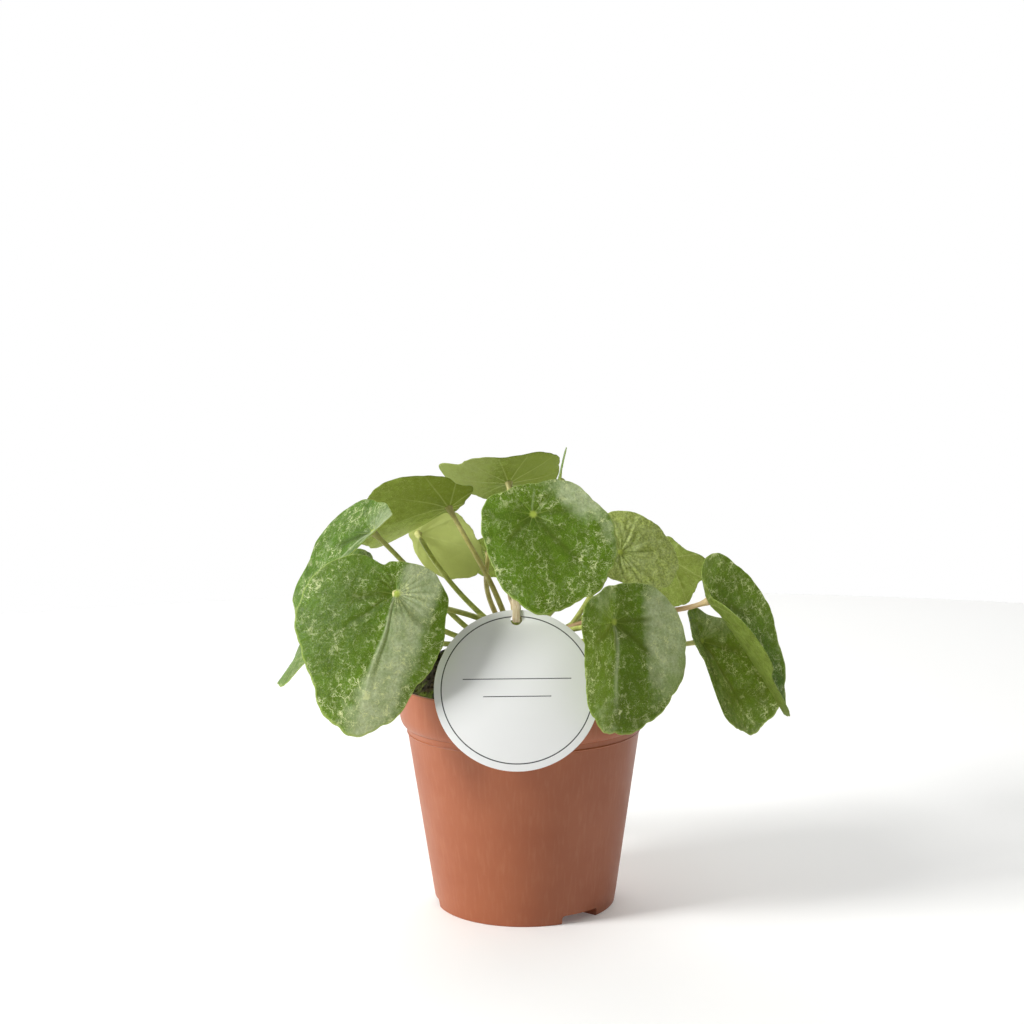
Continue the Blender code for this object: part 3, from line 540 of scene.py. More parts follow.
# The table has the leaves in the order of the solid model, with places in mm and angles in
# degrees: hub, the way the upper side faces, the turn of the tip, length and width, the hub's
# share of the length from the upper edge, and the reach of the edge from the hub in every 15
# degrees round, from the tip on. Then come the bends, and how the stalk leaves the stem. Tone
# runs from 0, deep green, to 1, pale, and past 1 the upper side fades; on the underside a tone
# above 0.7 is painted light, the glow of a backlit blade. Flecks is how much cream it has,
# crinkle how strongly it is puckered, and blush how far its stalk is flushed. Sheen and shade
# lists patches (middle, half sizes, strength): above zero a silvery sheen on the upper side,
# partly silver variegation and partly a painted highlight, and painted light on the underside;
# below zero painted shade, a deeper green. Creases are the ridges and grooves that run out from
# the hub (turn, length, half width, height), with a painted highlight on the ridges and painted
# shade in the grooves.
LEAVES = {
    "a": dict(
        hub=(-55, -62, 156), face=(-85, 18), turn=-20, size=(81, 70), up=0.205,
        reach=(64, 57, 43, 36, 31, 26, 24, 23, 21, 20, 18, 16,
               15, 15, 15, 15, 25, 32, 38, 44, 48, 50, 52, 60),
        droop=0.005, cup=-0.006, fold=-0.2, root=(-128, 126.5), rise=48, pulls=(20, 20), tone=0.3,
        flecks=1.35,
        bloom=((18, 8, 46, 8, 1.1), (-8, 9, 9, 8, 0.9), (50, 2, 14, 12, 0.5), (18, -18, 34, 16, -1.0),
               (6, 22, 22, 3, -0.3)),
        creases=((1, 54, 0.6, 0.3), (4.5, 50, 0.6, -0.35), (-70, 24, 2.4, -0.9), (-112, 13, 0.7, -0.4),
                 (-126, 15, 0.7, -0.4), (-141, 13, 0.7, -0.4), (-40, 30, 1.8, -0.3), (55, 22, 1.6, -0.3)),
    ),
    "b": dict(
        hub=(-69, -22, 180), face=(-155, 45), turn=-26, size=(68, 51), up=0.2,
        reach=(56, 50, 42, 34, 28, 24, 21, 18, 15, 13, 14, 14,
               13, 13, 14, 15, 16, 20, 26, 31, 35, 39, 41, 56),
        droop=0.006, fold=0.3, root=(-150, 123), rise=0, pulls=(22, 34), tone=0.45, flecks=1.0,
        bloom=((-7, 6, 9, 12, 0.8),),
        creases=((-30, 26, 1.6, -0.4), (40, 26, 1.6, -0.3), (0, 40, 1.0, 0.3)),
    ),
    "c": dict(
        hub=(-35, 14, 189), face=(111, 55), turn=60, size=(69, 57), up=0.19,
        reach=(46, 42, 42, 40, 36, 27, 22, 19, 15, 15, 17, 13,
               9, 8, 8, 7, 7, 8, 9, 10, 14, 32, 46, 48),
        droop=0.003, cup=0.005, fold=0.15, root=(142, 130), rise=55, pulls=(30, 30), bow=(5, -2, 0),
        tone=0.5, blush=0.35,
        bloom=((22, -26, 30, 16, 0.35), (-4, 10, 26, 16, -0.7)),
    ),
    "d": dict(
        hub=(-6, 48, 199), face=(104, 55), turn=-4, size=(60, 66), up=0.34,
        reach=(23, 21, 21, 22, 27, 33, 37, 28, 27, 27, 25, 22,
               22, 23, 25, 26, 28, 29, 30, 31, 31, 30, 28, 25),
        droop=-0.002, cup=0.016, root=(100, 130), rise=70, pulls=(35, 30), tone=0.6, blush=0.3,
        bloom=((0, 24, 40, 16, 0.6), (0, -18, 40, 20, -1.0)),
    ),
    "e": dict(
        hub=(5, -46, 189), face=(-90, 22), turn=22, size=(63, 60), up=0.245,
        reach=(44, 45, 43, 40, 36, 30, 26, 24, 21, 17, 14, 14,
               14, 15, 16, 21, 23, 23, 25, 26, 30, 36, 42, 46),
        droop=0.004, cup=-0.003, root=(-95, 130), rise=55, pulls=(20, 22), bow=(-7, 0, 0), tone=0.25,
        flecks=1.15,
        bloom=((-1, 22, 10, 8, 1.0), (14, 28, 14, 3, 0.45), (-8, 8, 7, 9, 0.3), (8, -4, 18, 14, -0.8)),
        creases=((158, 13, 0.35, 0.2), (20, 34, 1.6, -0.4), (-60, 22, 1.8, -0.4), (75, 24, 1.5, -0.35),
                 (120, 18, 1.2, -0.3)),
    ),
    "f": dict(
        hub=(-52, 46, 173), face=(88, 5), turn=-74, size=(44, 38), up=0.08,
        reach=(34, 37, 32, 26, 19, 13, 9, 6, 5, 5, 5, 5,
               5, 5, 5, 6, 8, 10, 13, 16, 19, 22, 25, 29),
        droop=0.004, root=(152, 126.5), rise=30, pulls=(34, 24), tone=1.0, flecks=0.3,
    ),
    "g": dict(
        hub=(48, 12, 166), face=(-75, 20), turn=70, size=(44, 41), up=0.32,
        reach=(30, 30, 28, 26, 23, 22, 21, 21, 20, 19, 18, 17,
               16, 15, 15, 15, 15, 15, 15, 15, 17, 20, 25, 29),
        droop=0.008, cup=-0.004, root=(4, 119.5), rise=18, pulls=(20, 22), tone=1.6, flecks=0.6,
        crinkle=3.2,
        bloom=((13, 3, 20, 14, 0.2),),
        creases=((20, 24, 1.2, -0.2), (60, 20, 1.2, -0.15), (-25, 22, 1.2, -0.15), (105, 16, 1.0, -0.15),
                 (-70, 14, 1.0, -0.15)),
    ),
    "h": dict(
        hub=(75, 50, 159), face=(55, 15), turn=-20, size=(36, 34), up=0.3,
        reach=(25, 26, 25, 23, 20, 18, 16, 15, 14, 13, 12, 11,
               11, 11, 11, 10, 10, 11, 14, 21, 24, 23, 20, 22),
        droop=0.006, cup=-0.004, root=(32, 123), rise=16, pulls=(34, 22), tone=0.74,
    ),
    "i": dict(
        hub=(40, -58, 142), face=(-52, 10), turn=-8, size=(67, 54), up=0.25,
        reach=(49, 48, 44, 42, 40, 36, 31, 28, 25, 23, 20, 18,
               16, 16, 16, 16, 18, 20, 21, 22, 24, 28, 35, 44),
        droop=0.004, cup=-0.012, fold=0.4, root=(-62, 123), rise=32, pulls=(18, 20), tone=0.2,
        flecks=1.15,
        bloom=((2, 24, 24, 12, 1.15), (-12, -8, 8, 8, 0.4), (44, 4, 10, 14, 0.3), (20, 8, 28, 6, -0.7)),
        creases=((2, 44, 0.9, 0.25), (-4, 14, 0.7, -0.5), (50, 26, 1.6, -0.4), (95, 20, 1.5, -0.4),
                 (-55, 20, 1.5, -0.4)),
    ),
    "j": dict(
        hub=(84, -42, 149), face=(-23, 30), turn=22, size=(84, 50), up=0.22,
        reach=(67, 56, 43, 36, 28, 24, 22, 21, 20, 19, 18, 16,
               12, 10, 9, 7, 7, 8, 15, 25, 33, 40, 44, 57),
        droop=0.002, fold=0.6, curl=0.024, root=(-22, 123), rise=38, pulls=(34, 26), tone=0.3, flecks=1.2,
        blush=1.0,
        creases=((0, 52, 1.2, -0.4), (35, 26, 1.5, -0.4), (-40, 26, 1.5, -0.4)),
    ),
    "k": dict(
        hub=(82, -30, 129), face=(-40, 26), turn=20, size=(64, 52), up=0.23,
        reach=(51, 50, 44, 36, 28, 21, 18, 15, 14, 14, 15, 15,
               15, 13, 12, 12, 12, 12, 12, 13, 14, 24, 38, 43),
        droop=0.004, fold=0.35, twist=0.4, root=(-40, 119.5), rise=30, pulls=(30, 26), tone=0.15,
        flecks=1.2,
        bloom=((-4, 12, 9, 9, 0.5),),
        creases=((0, 40, 1.2, -0.4), (45, 26, 1.5, -0.4), (-35, 26, 1.5, -0.4)),
    ),
    "l": dict(
        hub=(-100, 32, 125), face=(-162, 38), turn=-48, size=(56, 42), up=0.22, droop=0.006,
        root=(166, 119.5), rise=12, pulls=(34, 22), tone=0.5,
    ),
    "m": dict(
        hub=(-80, 5, 156), face=(-150, 28), turn=-20, size=(54, 48), up=0.25, droop=0.006,
        root=(180, 123), rise=0, pulls=(34, 22), tone=0.2,
    ),
    "n": dict(
        hub=(21, 87, 197), face=(178, 15), turn=0, size=(47.5, 33.6), up=0.39, droop=0.002, wave=0.4,
        root=(50, 130), rise=40, pulls=(34, 18), bow=(10, 8, -8), tone=0.5,
    ),
    "p": dict(
        hub=(-17, 66, 162), face=(100, 46), turn=-60, size=(42, 36), up=0.25, droop=0.004,
        root=(130, 123), rise=55, pulls=(28, 22), bow=(-5, 4, 0), tone=0.5, blush=0.5,
    ),
    "q": dict(
        hub=(-4, 68, 112), face=(95, 20), turn=0, size=(50, 44), up=0.3, droop=0.004, root=(90, 123),
        rise=35, pulls=(24, 18), tone=0.4,
    ),
}
USUAL = dict(
    reach=None, droop=0.0, cup=0.0, fold=0.0, curl=0.0, twist=0.0, wave=1.0, bow=(0, 0, 0), tone=0.4,
    flecks=0.6, crinkle=1.0, blush=0.0, bloom=(),
    creases=((0, 30, 0.5, 0.12), (-60, 20, 1.5, -0.3), (60, 20, 1.5, -0.3)),
)
BLADE_THICK = 0.75
BLADE_THIN = 0.5
HUB_RAISE = 1.2
HUB_WIDTH = 6.0
FOLD_ROUND = 3.0
SCALLOPS = 11
SCALLOP_DEPTH = 0.028
SCALLOP_MEAN = 0.64
FINE_SCALLOP = 0.008
EGG = 0.06
REACH_STEP = 15.0
SPOKES = 176
RINGS = 40
RING_SPACING = 0.9
RIM_SHARES = (0.992, 1.0)
RIM_DRAWN_IN = (0.12, 0.5)
UNDER_RELIEF = 0.9
VEINS = 9
VEIN_DEPTH = 0.22
VEIN_HALF_WIDTH = 0.7
VEIN_FADE = 26.0
QUILT_HEIGHT = 0.16
QUILT_SPAN = 3.2
PUCKER_RAYS = 17.0
PUCKER_SHARE = 0.12
PATCH_REACH = 1.7
PATCH_SOFT = 1.4
FULL_CREASE = 0.4
CREASE_WANDER = 0.5
CREASE_WAVE = 5.0
CREASE_FADE = 0.4
BLADE_SEAT = 0.8
STALK_ROOT = 1.5
STALK_TIP = 1.2
SEED_SHIFT = 40.0


def through(marks, at):
    """Places on a smooth closed line through marks. at counts along them and may be broken."""
    marks = np.array(marks, dtype=float)
    number = np.floor(at).astype(int)
    share = (at - number).reshape(at.shape + (1,) * (marks.ndim - 1))
    before, start, end, after = (marks[(number + step) % len(marks)] for step in (-1, 0, 1, 2))
    bend = 2.0 * before - 5.0 * start + 4.0 * end - after
    change = 3.0 * start - before - 3.0 * end + after
    return start + 0.5 * share * (end - before + share * (bend + share * change))


def bent(out, lift, curvature):
    """Points at a distance out and a height above a line, after the line has bent upward."""
    if not curvature:
        return out, lift
    radius = 1.0 / curvature - lift
    turn = curvature * out
    return radius * np.sin(turn), 1.0 / curvature - radius * np.cos(turn)


class Leaf:
    """The form of a blade and its stalk, worked out as the solid model does, in mm."""

    def __init__(self, name, values):
        self.name = name
        for key, value in {**USUAL, **values}.items():
            setattr(self, key, value)
        self.seed = 1 + list(LEAVES).index(name)
        self.hub = Vector(self.hub)
        azimuth, elevation = self.face
        self.normal = direction(azimuth, elevation)
        down = -direction(azimuth, elevation + 90.0)
        turn = math.radians(self.turn)
        self.along = down * math.cos(turn) + self.normal.cross(down) * math.sin(turn)
        self.across = self.normal.cross(self.along)

    def edge(self, angle):
        """The edge of the flat blade at angles round its middle: (along, across)."""
        length, width = self.size
        swell = SCALLOP_DEPTH * (np.abs(np.sin(0.5 * SCALLOPS * angle + self.seed)) - SCALLOP_MEAN)
        finer = np.abs(np.sin(1.5 * SCALLOPS * angle + 2.3 * self.seed)) - SCALLOP_MEAN
        swell = 1.0 + swell + FINE_SCALLOP * finer
        along = length * (0.5 - self.up + 0.5 * np.cos(angle))
        across = 0.5 * width * np.sin(angle) * (1.0 - EGG * np.cos(angle))
        if self.reach:
            around = np.arctan2(across, along)
            distance = through(self.reach, np.degrees(around) / REACH_STEP)
            along = distance * np.cos(around)
            across = distance * np.sin(around)
        return along * swell, across * swell

    def relief(self, along, across, share):
        """Puckers between the veins and the sunken veins themselves, as a height."""
        reach = np.hypot(along, across)
        around = np.arctan2(across, along)
        from_vein = np.abs(np.sin(0.5 * VEINS * around)) * reach * 2.0 / VEINS
        fade = np.exp(-reach / VEIN_FADE)
        vein = -VEIN_DEPTH * np.exp(-((from_vein / VEIN_HALF_WIDTH) ** 2)) * fade * smooth_step(reach / 3.0)
        spots = np.stack([along, across], -1).reshape(-1, 2) / QUILT_SPAN
        shift = 7.0 * self.seed
        quilt = np.array([
            noise.noise(Vector((a, b, shift))) + 0.5 * noise.noise(Vector((2.1 * a, 2.1 * b, shift)))
            for a, b in spots
        ]).reshape(along.shape)
        pucker_turn = PUCKER_RAYS * around + 3.0 * np.sin(reach / 4.0 + self.seed)
        pucker = np.sin(pucker_turn) * np.minimum(reach / 12.0, 1.0)
        rough = QUILT_HEIGHT * (quilt + PUCKER_SHARE * self.crinkle * pucker) * self.crinkle
        relief = vein * self.crinkle + rough * smooth_step(reach / 6.0) * (1.0 - 0.5 * share ** 8)
        for crease in self.creases:
            relief = relief + crease[3] * self.on_crease(along, across, crease)
        return relief

    def on_crease(self, along, across, crease):
        """How far points lie on a ridge or groove that runs out from the hub, from 0 to 1."""
        toward, length, half_width, _ = crease
        turn = math.radians(toward)
        out = along * math.cos(turn) + across * math.sin(turn)
        off = across * math.cos(turn) - along * math.sin(turn)
        off = off + CREASE_WANDER * np.sin(out / CREASE_WAVE + self.seed)
        ends = smooth_step(out / 3.0) * smooth_step((length - out) / (CREASE_FADE * length))
        return np.exp(-((off / half_width) ** 2)) * ends

    def marks(self, along, across):
        """Shares at points of the flat blade: silvery sheen, partly silver variegation and partly a painted
        highlight, or painted shade below zero; then the ridge, with its painted highlight, and the groove,
        with its painted shade.
        """
        bloom = np.zeros_like(along)
        for middle_along, middle_across, half_along, half_across, strength in self.bloom:
            far = np.hypot((along - middle_along) / half_along, (across - middle_across) / half_across)
            bloom = bloom + strength * smooth_step((PATCH_REACH - far) / PATCH_SOFT)
        ridge = np.zeros_like(along)
        groove = np.zeros_like(along)
        for crease in self.creases:
            here = self.on_crease(along, across, crease) * min(abs(crease[3]) / FULL_CREASE, 1.0)
            kind = ridge if crease[3] > 0.0 else groove
            np.maximum(kind, here, out=kind)
        return np.stack([np.clip(bloom, -1.0, 1.0), ridge, groove], -1)

    def place(self, share, angle, extra):
        """Points of the blade at a share of the way out and an angle, lifted by an extra height."""
        along, across = (share * edge for edge in self.edge(angle))
        reach = np.hypot(along, across)
        lift = self.fold * (np.sqrt(across ** 2 + FOLD_ROUND ** 2) - FOLD_ROUND)
        lift = lift + HUB_RAISE * (1.0 - np.exp(-((reach / HUB_WIDTH) ** 2)))
        lift = lift + self.curl * np.minimum(along, 0.0) ** 2
        lift = lift + self.wave * share ** 3 * np.sin(3.0 * angle + 2.1 * self.seed)
        lift = lift + 0.5 * self.wave * share ** 4 * np.sin(5.0 * angle + self.seed)
        lift = lift + extra
        across, lift = bent(across, lift, self.cup)
        along, lift = bent(along, lift, -self.droop)
        turn = self.twist * along / self.size[0]
        across, lift = (
            across * np.cos(turn) - lift * np.sin(turn),
            across * np.sin(turn) + lift * np.cos(turn),
        )
        frame_rows = np.array([self.along, self.across, self.normal])
        return np.array(self.hub) + np.stack([along, across, lift], -1) @ frame_rows

    def stalk(self, count):
        """Points along the stalk, from the stem's side to just under the hub."""
        azimuth, height = self.root
        leaving = direction(azimuth, self.rise) * self.pulls[0] + Vector(self.bow)
        start = turned(azimuth, STEM_RADIUS + GAP + STALK_ROOT * leaving.normalized().z, height)
        straight = (self.hub - start).normalized()
        arriving = (self.normal + straight).normalized()
        tilt = math.sqrt(max(0.0, 1.0 - arriving.dot(self.normal) ** 2))
        end = self.hub - self.normal * (BLADE_SEAT + GAP + STALK_TIP * tilt)
        first = start + leaving
        last = end - arriving * self.pulls[1] + Vector(self.bow)
        points = []
        for step in range(count):
            share = step / (count - 1)
            rest = 1.0 - share
            points.append(
                start * rest ** 3 + first * 3.0 * rest ** 2 * share
                + last * 3.0 * rest * share ** 2 + end * share ** 3
            )
        return points


def blade_sockets(add):
    """What both skins read at a point of the blade: its place in mm, the leaf's tone, the share of
    silvery sheen and painted shade, how far out it is and its distance from the nearest vein, then the
    rest."""
    blade, kind, mark = (
        add("Attribute", attribute_name=layer, give="Vector")
        for layer in ("blade_mm", "leaf_kind", "leaf_marks")
    )
    along, across = add("SeparateXYZ", (blade,), give=("X", "Y"))
    tone, flecks, rim = add("SeparateXYZ", (kind,), give=("X", "Y", "Z"))
    bloom, ridge, groove = add("SeparateXYZ", (mark,), give=("X", "Y", "Z"))
    flat = add("CombineXYZ", (along, across))
    reach = add("VectorMath", (flat,), operation="LENGTH")
    around = add("Math", (across, along), operation="ARCTAN2")
    off_vein = add("Math", (around, 0.5 * VEINS), operation="MULTIPLY")
    for operation in ("SINE", "ABSOLUTE"):
        off_vein = add("Math", (off_vein,), operation=operation)
    from_vein = add("Math", (off_vein, reach), operation="MULTIPLY")
    return blade, tone, bloom, reach, from_vein, around, flecks, rim, ridge, groove


def curl_lines(add, blade, scale, detail, distortion, line):
    """Loose curls: the thin lines on which a noise is at its middle, as a share."""
    curls = add("TexNoise", {
        "Vector": blade, "Scale": scale, "Detail": detail, "Roughness": 0.6, "Distortion": distortion,
    })
    off_middle = add("Math", (curls, 0.5), operation="SUBTRACT")
    return add("MapRange", (add("Math", (off_middle,), operation="ABSOLUTE"), *line))


def thin_sheet(add, skin, colour, lit_share, through_share):
    """Ends a skin's material. A leaf is one thin sheet of tissue: light that has gone in through
    one skin leaves through the other undimmed, so its inner side only lets light by."""
    lit = add("Mix", (lit_share, colour, LIT_GREEN), data_type="RGBA")
    glowing = add("BsdfTranslucent", (lit,))
    outer = add("MixShader", (through_share, skin, glowing))
    inner_side = add("NewGeometry", give="Backfacing")
    letting_by = add("BsdfTranslucent", ("#FFFFFF",))
    leafy = add("MixShader", (inner_side, outer, letting_by))
    add("OutputMaterial", (leafy,))


# Upper skin of the leaf: a waxy cuticle over deep green tissue. Cells without green show as a net
# of fine cream squiggles. Silvery patches are partly air under the skin and partly a painted
# sheen, and painted shade deepens the green where the blade turns from the light. It gives a satin
# sheen that breaks up on the puckers. Scales are per mm of blade: 0.13 is mottling 8 mm wide.
DEEP_GREEN = "#30520C"
LEAF_GREEN = "#4E7A15"
SHADE_GREEN = "#2B4A09"
FADED_GREEN = "#C6D07E"
DUSTY_GREEN = "#86A945"
SILVER_SHEEN = "#E2ECC8"
CREAM = "#DBE3AB"
HUB_GREEN = "#C3D660"
EDGE_GREEN = "#A3B860"
GROOVE_SHADE_GREEN = "#2F470F"
LIT_GREEN = "#BED046"

leaf_top, add = new_material("waxy_variegated_leaf_skin")
blade, tone, bloom, reach, from_vein, around, flecks, rim, ridge, groove = blade_sockets(add)
mottle, fine, dust, zones, specks, border, warp_x, warp_y, breaks = (
    add("TexNoise", {"Vector": blade, "Scale": scale, "Detail": detail, "Roughness": roughness})
    for scale, detail, roughness in (
        (0.13, 5.0, 0.62), (1.0, 3.0, 0.65), (0.85, 3.0, 0.7), (0.085, 2.0, 0.5), (1.7, 2.0, 0.6),
        (0.22, 5.0, 0.65), (0.3, 3.0, 0.6), (0.37, 3.0, 0.6), (0.28, 3.0, 0.6),
    )
)
mottled = add("MapRange", (mottle, 0.36, 0.66, -0.1, 0.9), clamp=False)
toned = add("Math", (mottled, tone), operation="ADD", use_clamp=True)
faded = add("MapRange", (tone, 1.0, 1.6, 0.0, 0.9))

# Painted shade, where the share of sheen and shade is below zero, and a grain of darker cells about 1 mm
# wide.
painted_shade = add("MapRange", (bloom, 0.0, -1.0, 0.0, 0.7))
grain = add("MapRange", (fine, 0.4, 0.58, 0.6, 0.0))
shade_and_grain = add("Math", (painted_shade, grain), operation="MAXIMUM")

# Dust: pale cells 1 mm wide, close together, more in some zones of the blade than in others and
# less in the painted shade, and among them specks half as wide.
in_zone = add("MapRange", (zones, 0.36, 0.6, 0.25, 1.0))
not_painted_shade = add("MapRange", (bloom, 0.0, -0.7, 1.0, 0.4))
dust_zone = add("Math", (not_painted_shade, in_zone), operation="MULTIPLY")
dust_cells = add("MapRange", (dust, 0.48, 0.72, 0.0, 0.25))
dusted = add("Math", (dust_cells, dust_zone), operation="MULTIPLY")
speckled = add("MapRange", (specks, 0.53, 0.64, 0.0, 0.35))

# Silvery patches, partly silver variegation and partly a painted sheen: their border wanders by a few mm,
# and dust and faint rays break them up inside.
border_shift = add("MapRange", (border, 0.32, 0.68, -0.26, 0.26))
patch = add("Math", (bloom, border_shift), operation="ADD")
silver_and_sheen = add("MapRange", (patch, 0.05, 1.2, 0.0, 0.85))
dust_break = add("MapRange", (dust, 0.3, 0.62, 0.62, 1.0))
ray_turn = add("Math", (around, 21.0, border), operation="MULTIPLY_ADD")
ray_sine = add("Math", (ray_turn,), operation="SINE")
rays = add("MapRange", (ray_sine, -1.0, 1.0, 0.8, 1.0))
for share in (dust_break, rays):
    silver_and_sheen = add("Math", (silver_and_sheen, share), operation="MULTIPLY")

# Squiggles: a net of cracks round cells 5 to 8 mm wide, with loose curls and hairlines between
# them, broken off here and there.
warp = add("CombineXYZ", (warp_x, warp_y))
warped = add("VectorMath", (warp, (9.0, 9.0, 0.0), blade), operation="MULTIPLY_ADD")
net = add("TexVoronoi", {"Vector": warped, "Scale": 0.17}, feature="DISTANCE_TO_EDGE")
flecked = add("MapRange", (net, 0.008, 0.042, 1.0, 0.0))
curls = curl_lines(add, blade, 0.42, 3.0, 1.4, (0.003, 0.015, 1.0, 0.0))
hairlines = curl_lines(add, blade, 0.85, 2.0, 1.2, (0.002, 0.013, 0.4, 0.0))
for lines in (curls, hairlines):
    flecked = add("Math", (flecked, lines), operation="MAXIMUM")
unbroken = add("MapRange", (breaks, 0.41, 0.55))
for share in (unbroken, dust_zone, flecks):
    flecked = add("Math", (flecked, share), operation="MULTIPLY")

# Veins: the midrib and folds as the mesh has them, with a painted highlight on the ridges and
# painted shade in the grooves, and round the small yellow-green hub short pale rays and painted
# shade in fine wrinkles.
painted_groove_shade = add("Math", (groove, 0.75), operation="MULTIPLY")
painted_ridge_highlight = add("Math", (ridge, 0.6), operation="MULTIPLY")
wandering = add("Math", (from_vein, breaks), operation="ADD")
vein_line = add("MapRange", (wandering, 0.6, 1.8, 1.0, 0.0))
vein_fade = add("MapRange", (reach, 2.0, 13.0, 0.4, 0.0))
veined = add("Math", (vein_line, vein_fade), operation="MULTIPLY")
wrinkle_turn = add("Math", (around, 23.0, breaks), operation="MULTIPLY_ADD")
wrinkle_sine = add("Math", (wrinkle_turn,), operation="SINE")
wrinkle_fade = add("MapRange", (reach, 3.0, 17.0, 0.5, 0.0))
painted_wrinkle_shade = add("Math", (wrinkle_sine, wrinkle_fade), operation="MULTIPLY", use_clamp=True)
hubbed = add("MapRange", (reach, 0.5, 2.4, 0.8, 0.0), interpolation_type="SMOOTHERSTEP")
edged = add("MapRange", (rim, 0.976, 0.99, 0.0, 0.6))

colour = DEEP_GREEN
for share, paint in (
    (toned, LEAF_GREEN), (faded, FADED_GREEN), (shade_and_grain, SHADE_GREEN), (dusted, DUSTY_GREEN),
    (speckled, DUSTY_GREEN), (silver_and_sheen, SILVER_SHEEN), (flecked, CREAM), (painted_groove_shade, GROOVE_SHADE_GREEN),
    (painted_ridge_highlight, SILVER_SHEEN), (painted_wrinkle_shade, SHADE_GREEN), (veined, EDGE_GREEN), (hubbed, HUB_GREEN),
    (edged, EDGE_GREEN),
):
    colour = add("Mix", (share, colour, paint), data_type="RGBA")
cells = add("TexVoronoi", {"Vector": blade, "Scale": 0.5}, feature="SMOOTH_F1")
cell_relief = add("Bump", {"Height": cells, "Distance": 0.0006, "Strength": 0.5}, invert=True)
relief = add("Bump", {"Height": fine, "Distance": 0.0005, "Strength": 0.6, "Normal": cell_relief})
wax = add("MapRange", (dust, 0.35, 0.7, 0.31, 0.43))
waxy = add("BsdfPrincipled", {
    "Base Color": colour, "Roughness": wax, "IOR": 1.45, "Specular IOR Level": 0.22, "Normal": relief,
})
thin_sheet(add, waxy, colour, 0.45, 0.28)


# Underside of the leaf: matt and paler, without the wax, its veins a little raised and lighter.
# The upper side's squiggles show faintly through it. Painted light makes it pale on the backlit
# leaves and on patches that face the light, and painted shade darkens patches turned from it.
UNDER_OLIVE = "#6F8538"
UNDER_SHADE = "#4E601C"
UNDER_PAINTED_LIGHT = "#B7BE78"
UNDER_VEIN = "#BCC486"

leaf_under, add = new_material("matt_leaf_underside")
blade, tone, bloom, reach, from_vein, *_ = blade_sockets(add)
mottle = add("TexNoise", {"Vector": blade, "Scale": 0.24, "Detail": 5.0, "Roughness": 0.68})
# Painted light lightens the mottling a little, and painted shade darkens it.
mottle_shift = add("Math", (bloom, 0.12, mottle), operation="MULTIPLY_ADD")
mottled = add("MapRange", (mottle_shift, 0.4, 0.6))
showing = curl_lines(add, blade, 0.42, 3.0, 1.4, (0.004, 0.022, 0.4, 0.0))
# Painted shade where the share is below zero; painted light where it is above zero, and on backlit leaves
# whose tone is above 0.7.
painted_shade_under = add("MapRange", (bloom, 0.0, -1.0, 0.0, 0.75))
backlit_glow = add("MapRange", (tone, 0.7, 1.0, 0.0, 0.8))
painted_light_under = add("Math", (bloom, 0.7, backlit_glow), operation="MULTIPLY_ADD", use_clamp=True)
vein_line = add("MapRange", (from_vein, 0.3, 2.4, 1.0, 0.0))
vein_fade = add("MapRange", (reach, 2.0, 30.0, 0.4, 0.05))
veined = add("Math", (vein_line, vein_fade), operation="MULTIPLY")
colour = UNDER_SHADE
for share, paint in (
    (mottled, UNDER_OLIVE), (showing, UNDER_VEIN), (painted_shade_under, UNDER_SHADE), (painted_light_under, UNDER_PAINTED_LIGHT),
    (veined, UNDER_VEIN),
):
    colour = add("Mix", (share, colour, paint), data_type="RGBA")
fine = add("TexNoise", {"Vector": blade, "Scale": 0.9, "Detail": 4.0, "Roughness": 0.6})
relief = add("Bump", {"Height": fine, "Distance": 0.0004, "Strength": 0.35})
matt = add("BsdfPrincipled", {
    "Base Color": colour, "Roughness": 0.55, "IOR": 1.4, "Specular IOR Level": 0.4, "Normal": relief,
})
thin_sheet(add, matt, colour, 0.4, 0.36)


def layered_mesh(name, points, faces, layers):
    """A mesh from points in mm, with layers of vectors that its material reads at each point."""
    mesh = bpy.data.meshes.new(name)
    mesh.from_pydata((np.array(points) * MM).tolist(), [], faces)
    for layer, vectors in layers.items():
        made = mesh.attributes.new(layer, "FLOAT_VECTOR", "POINT")
        made.data.foreach_set("vector", np.array(vectors, dtype=np.float32).ravel())
    return mesh


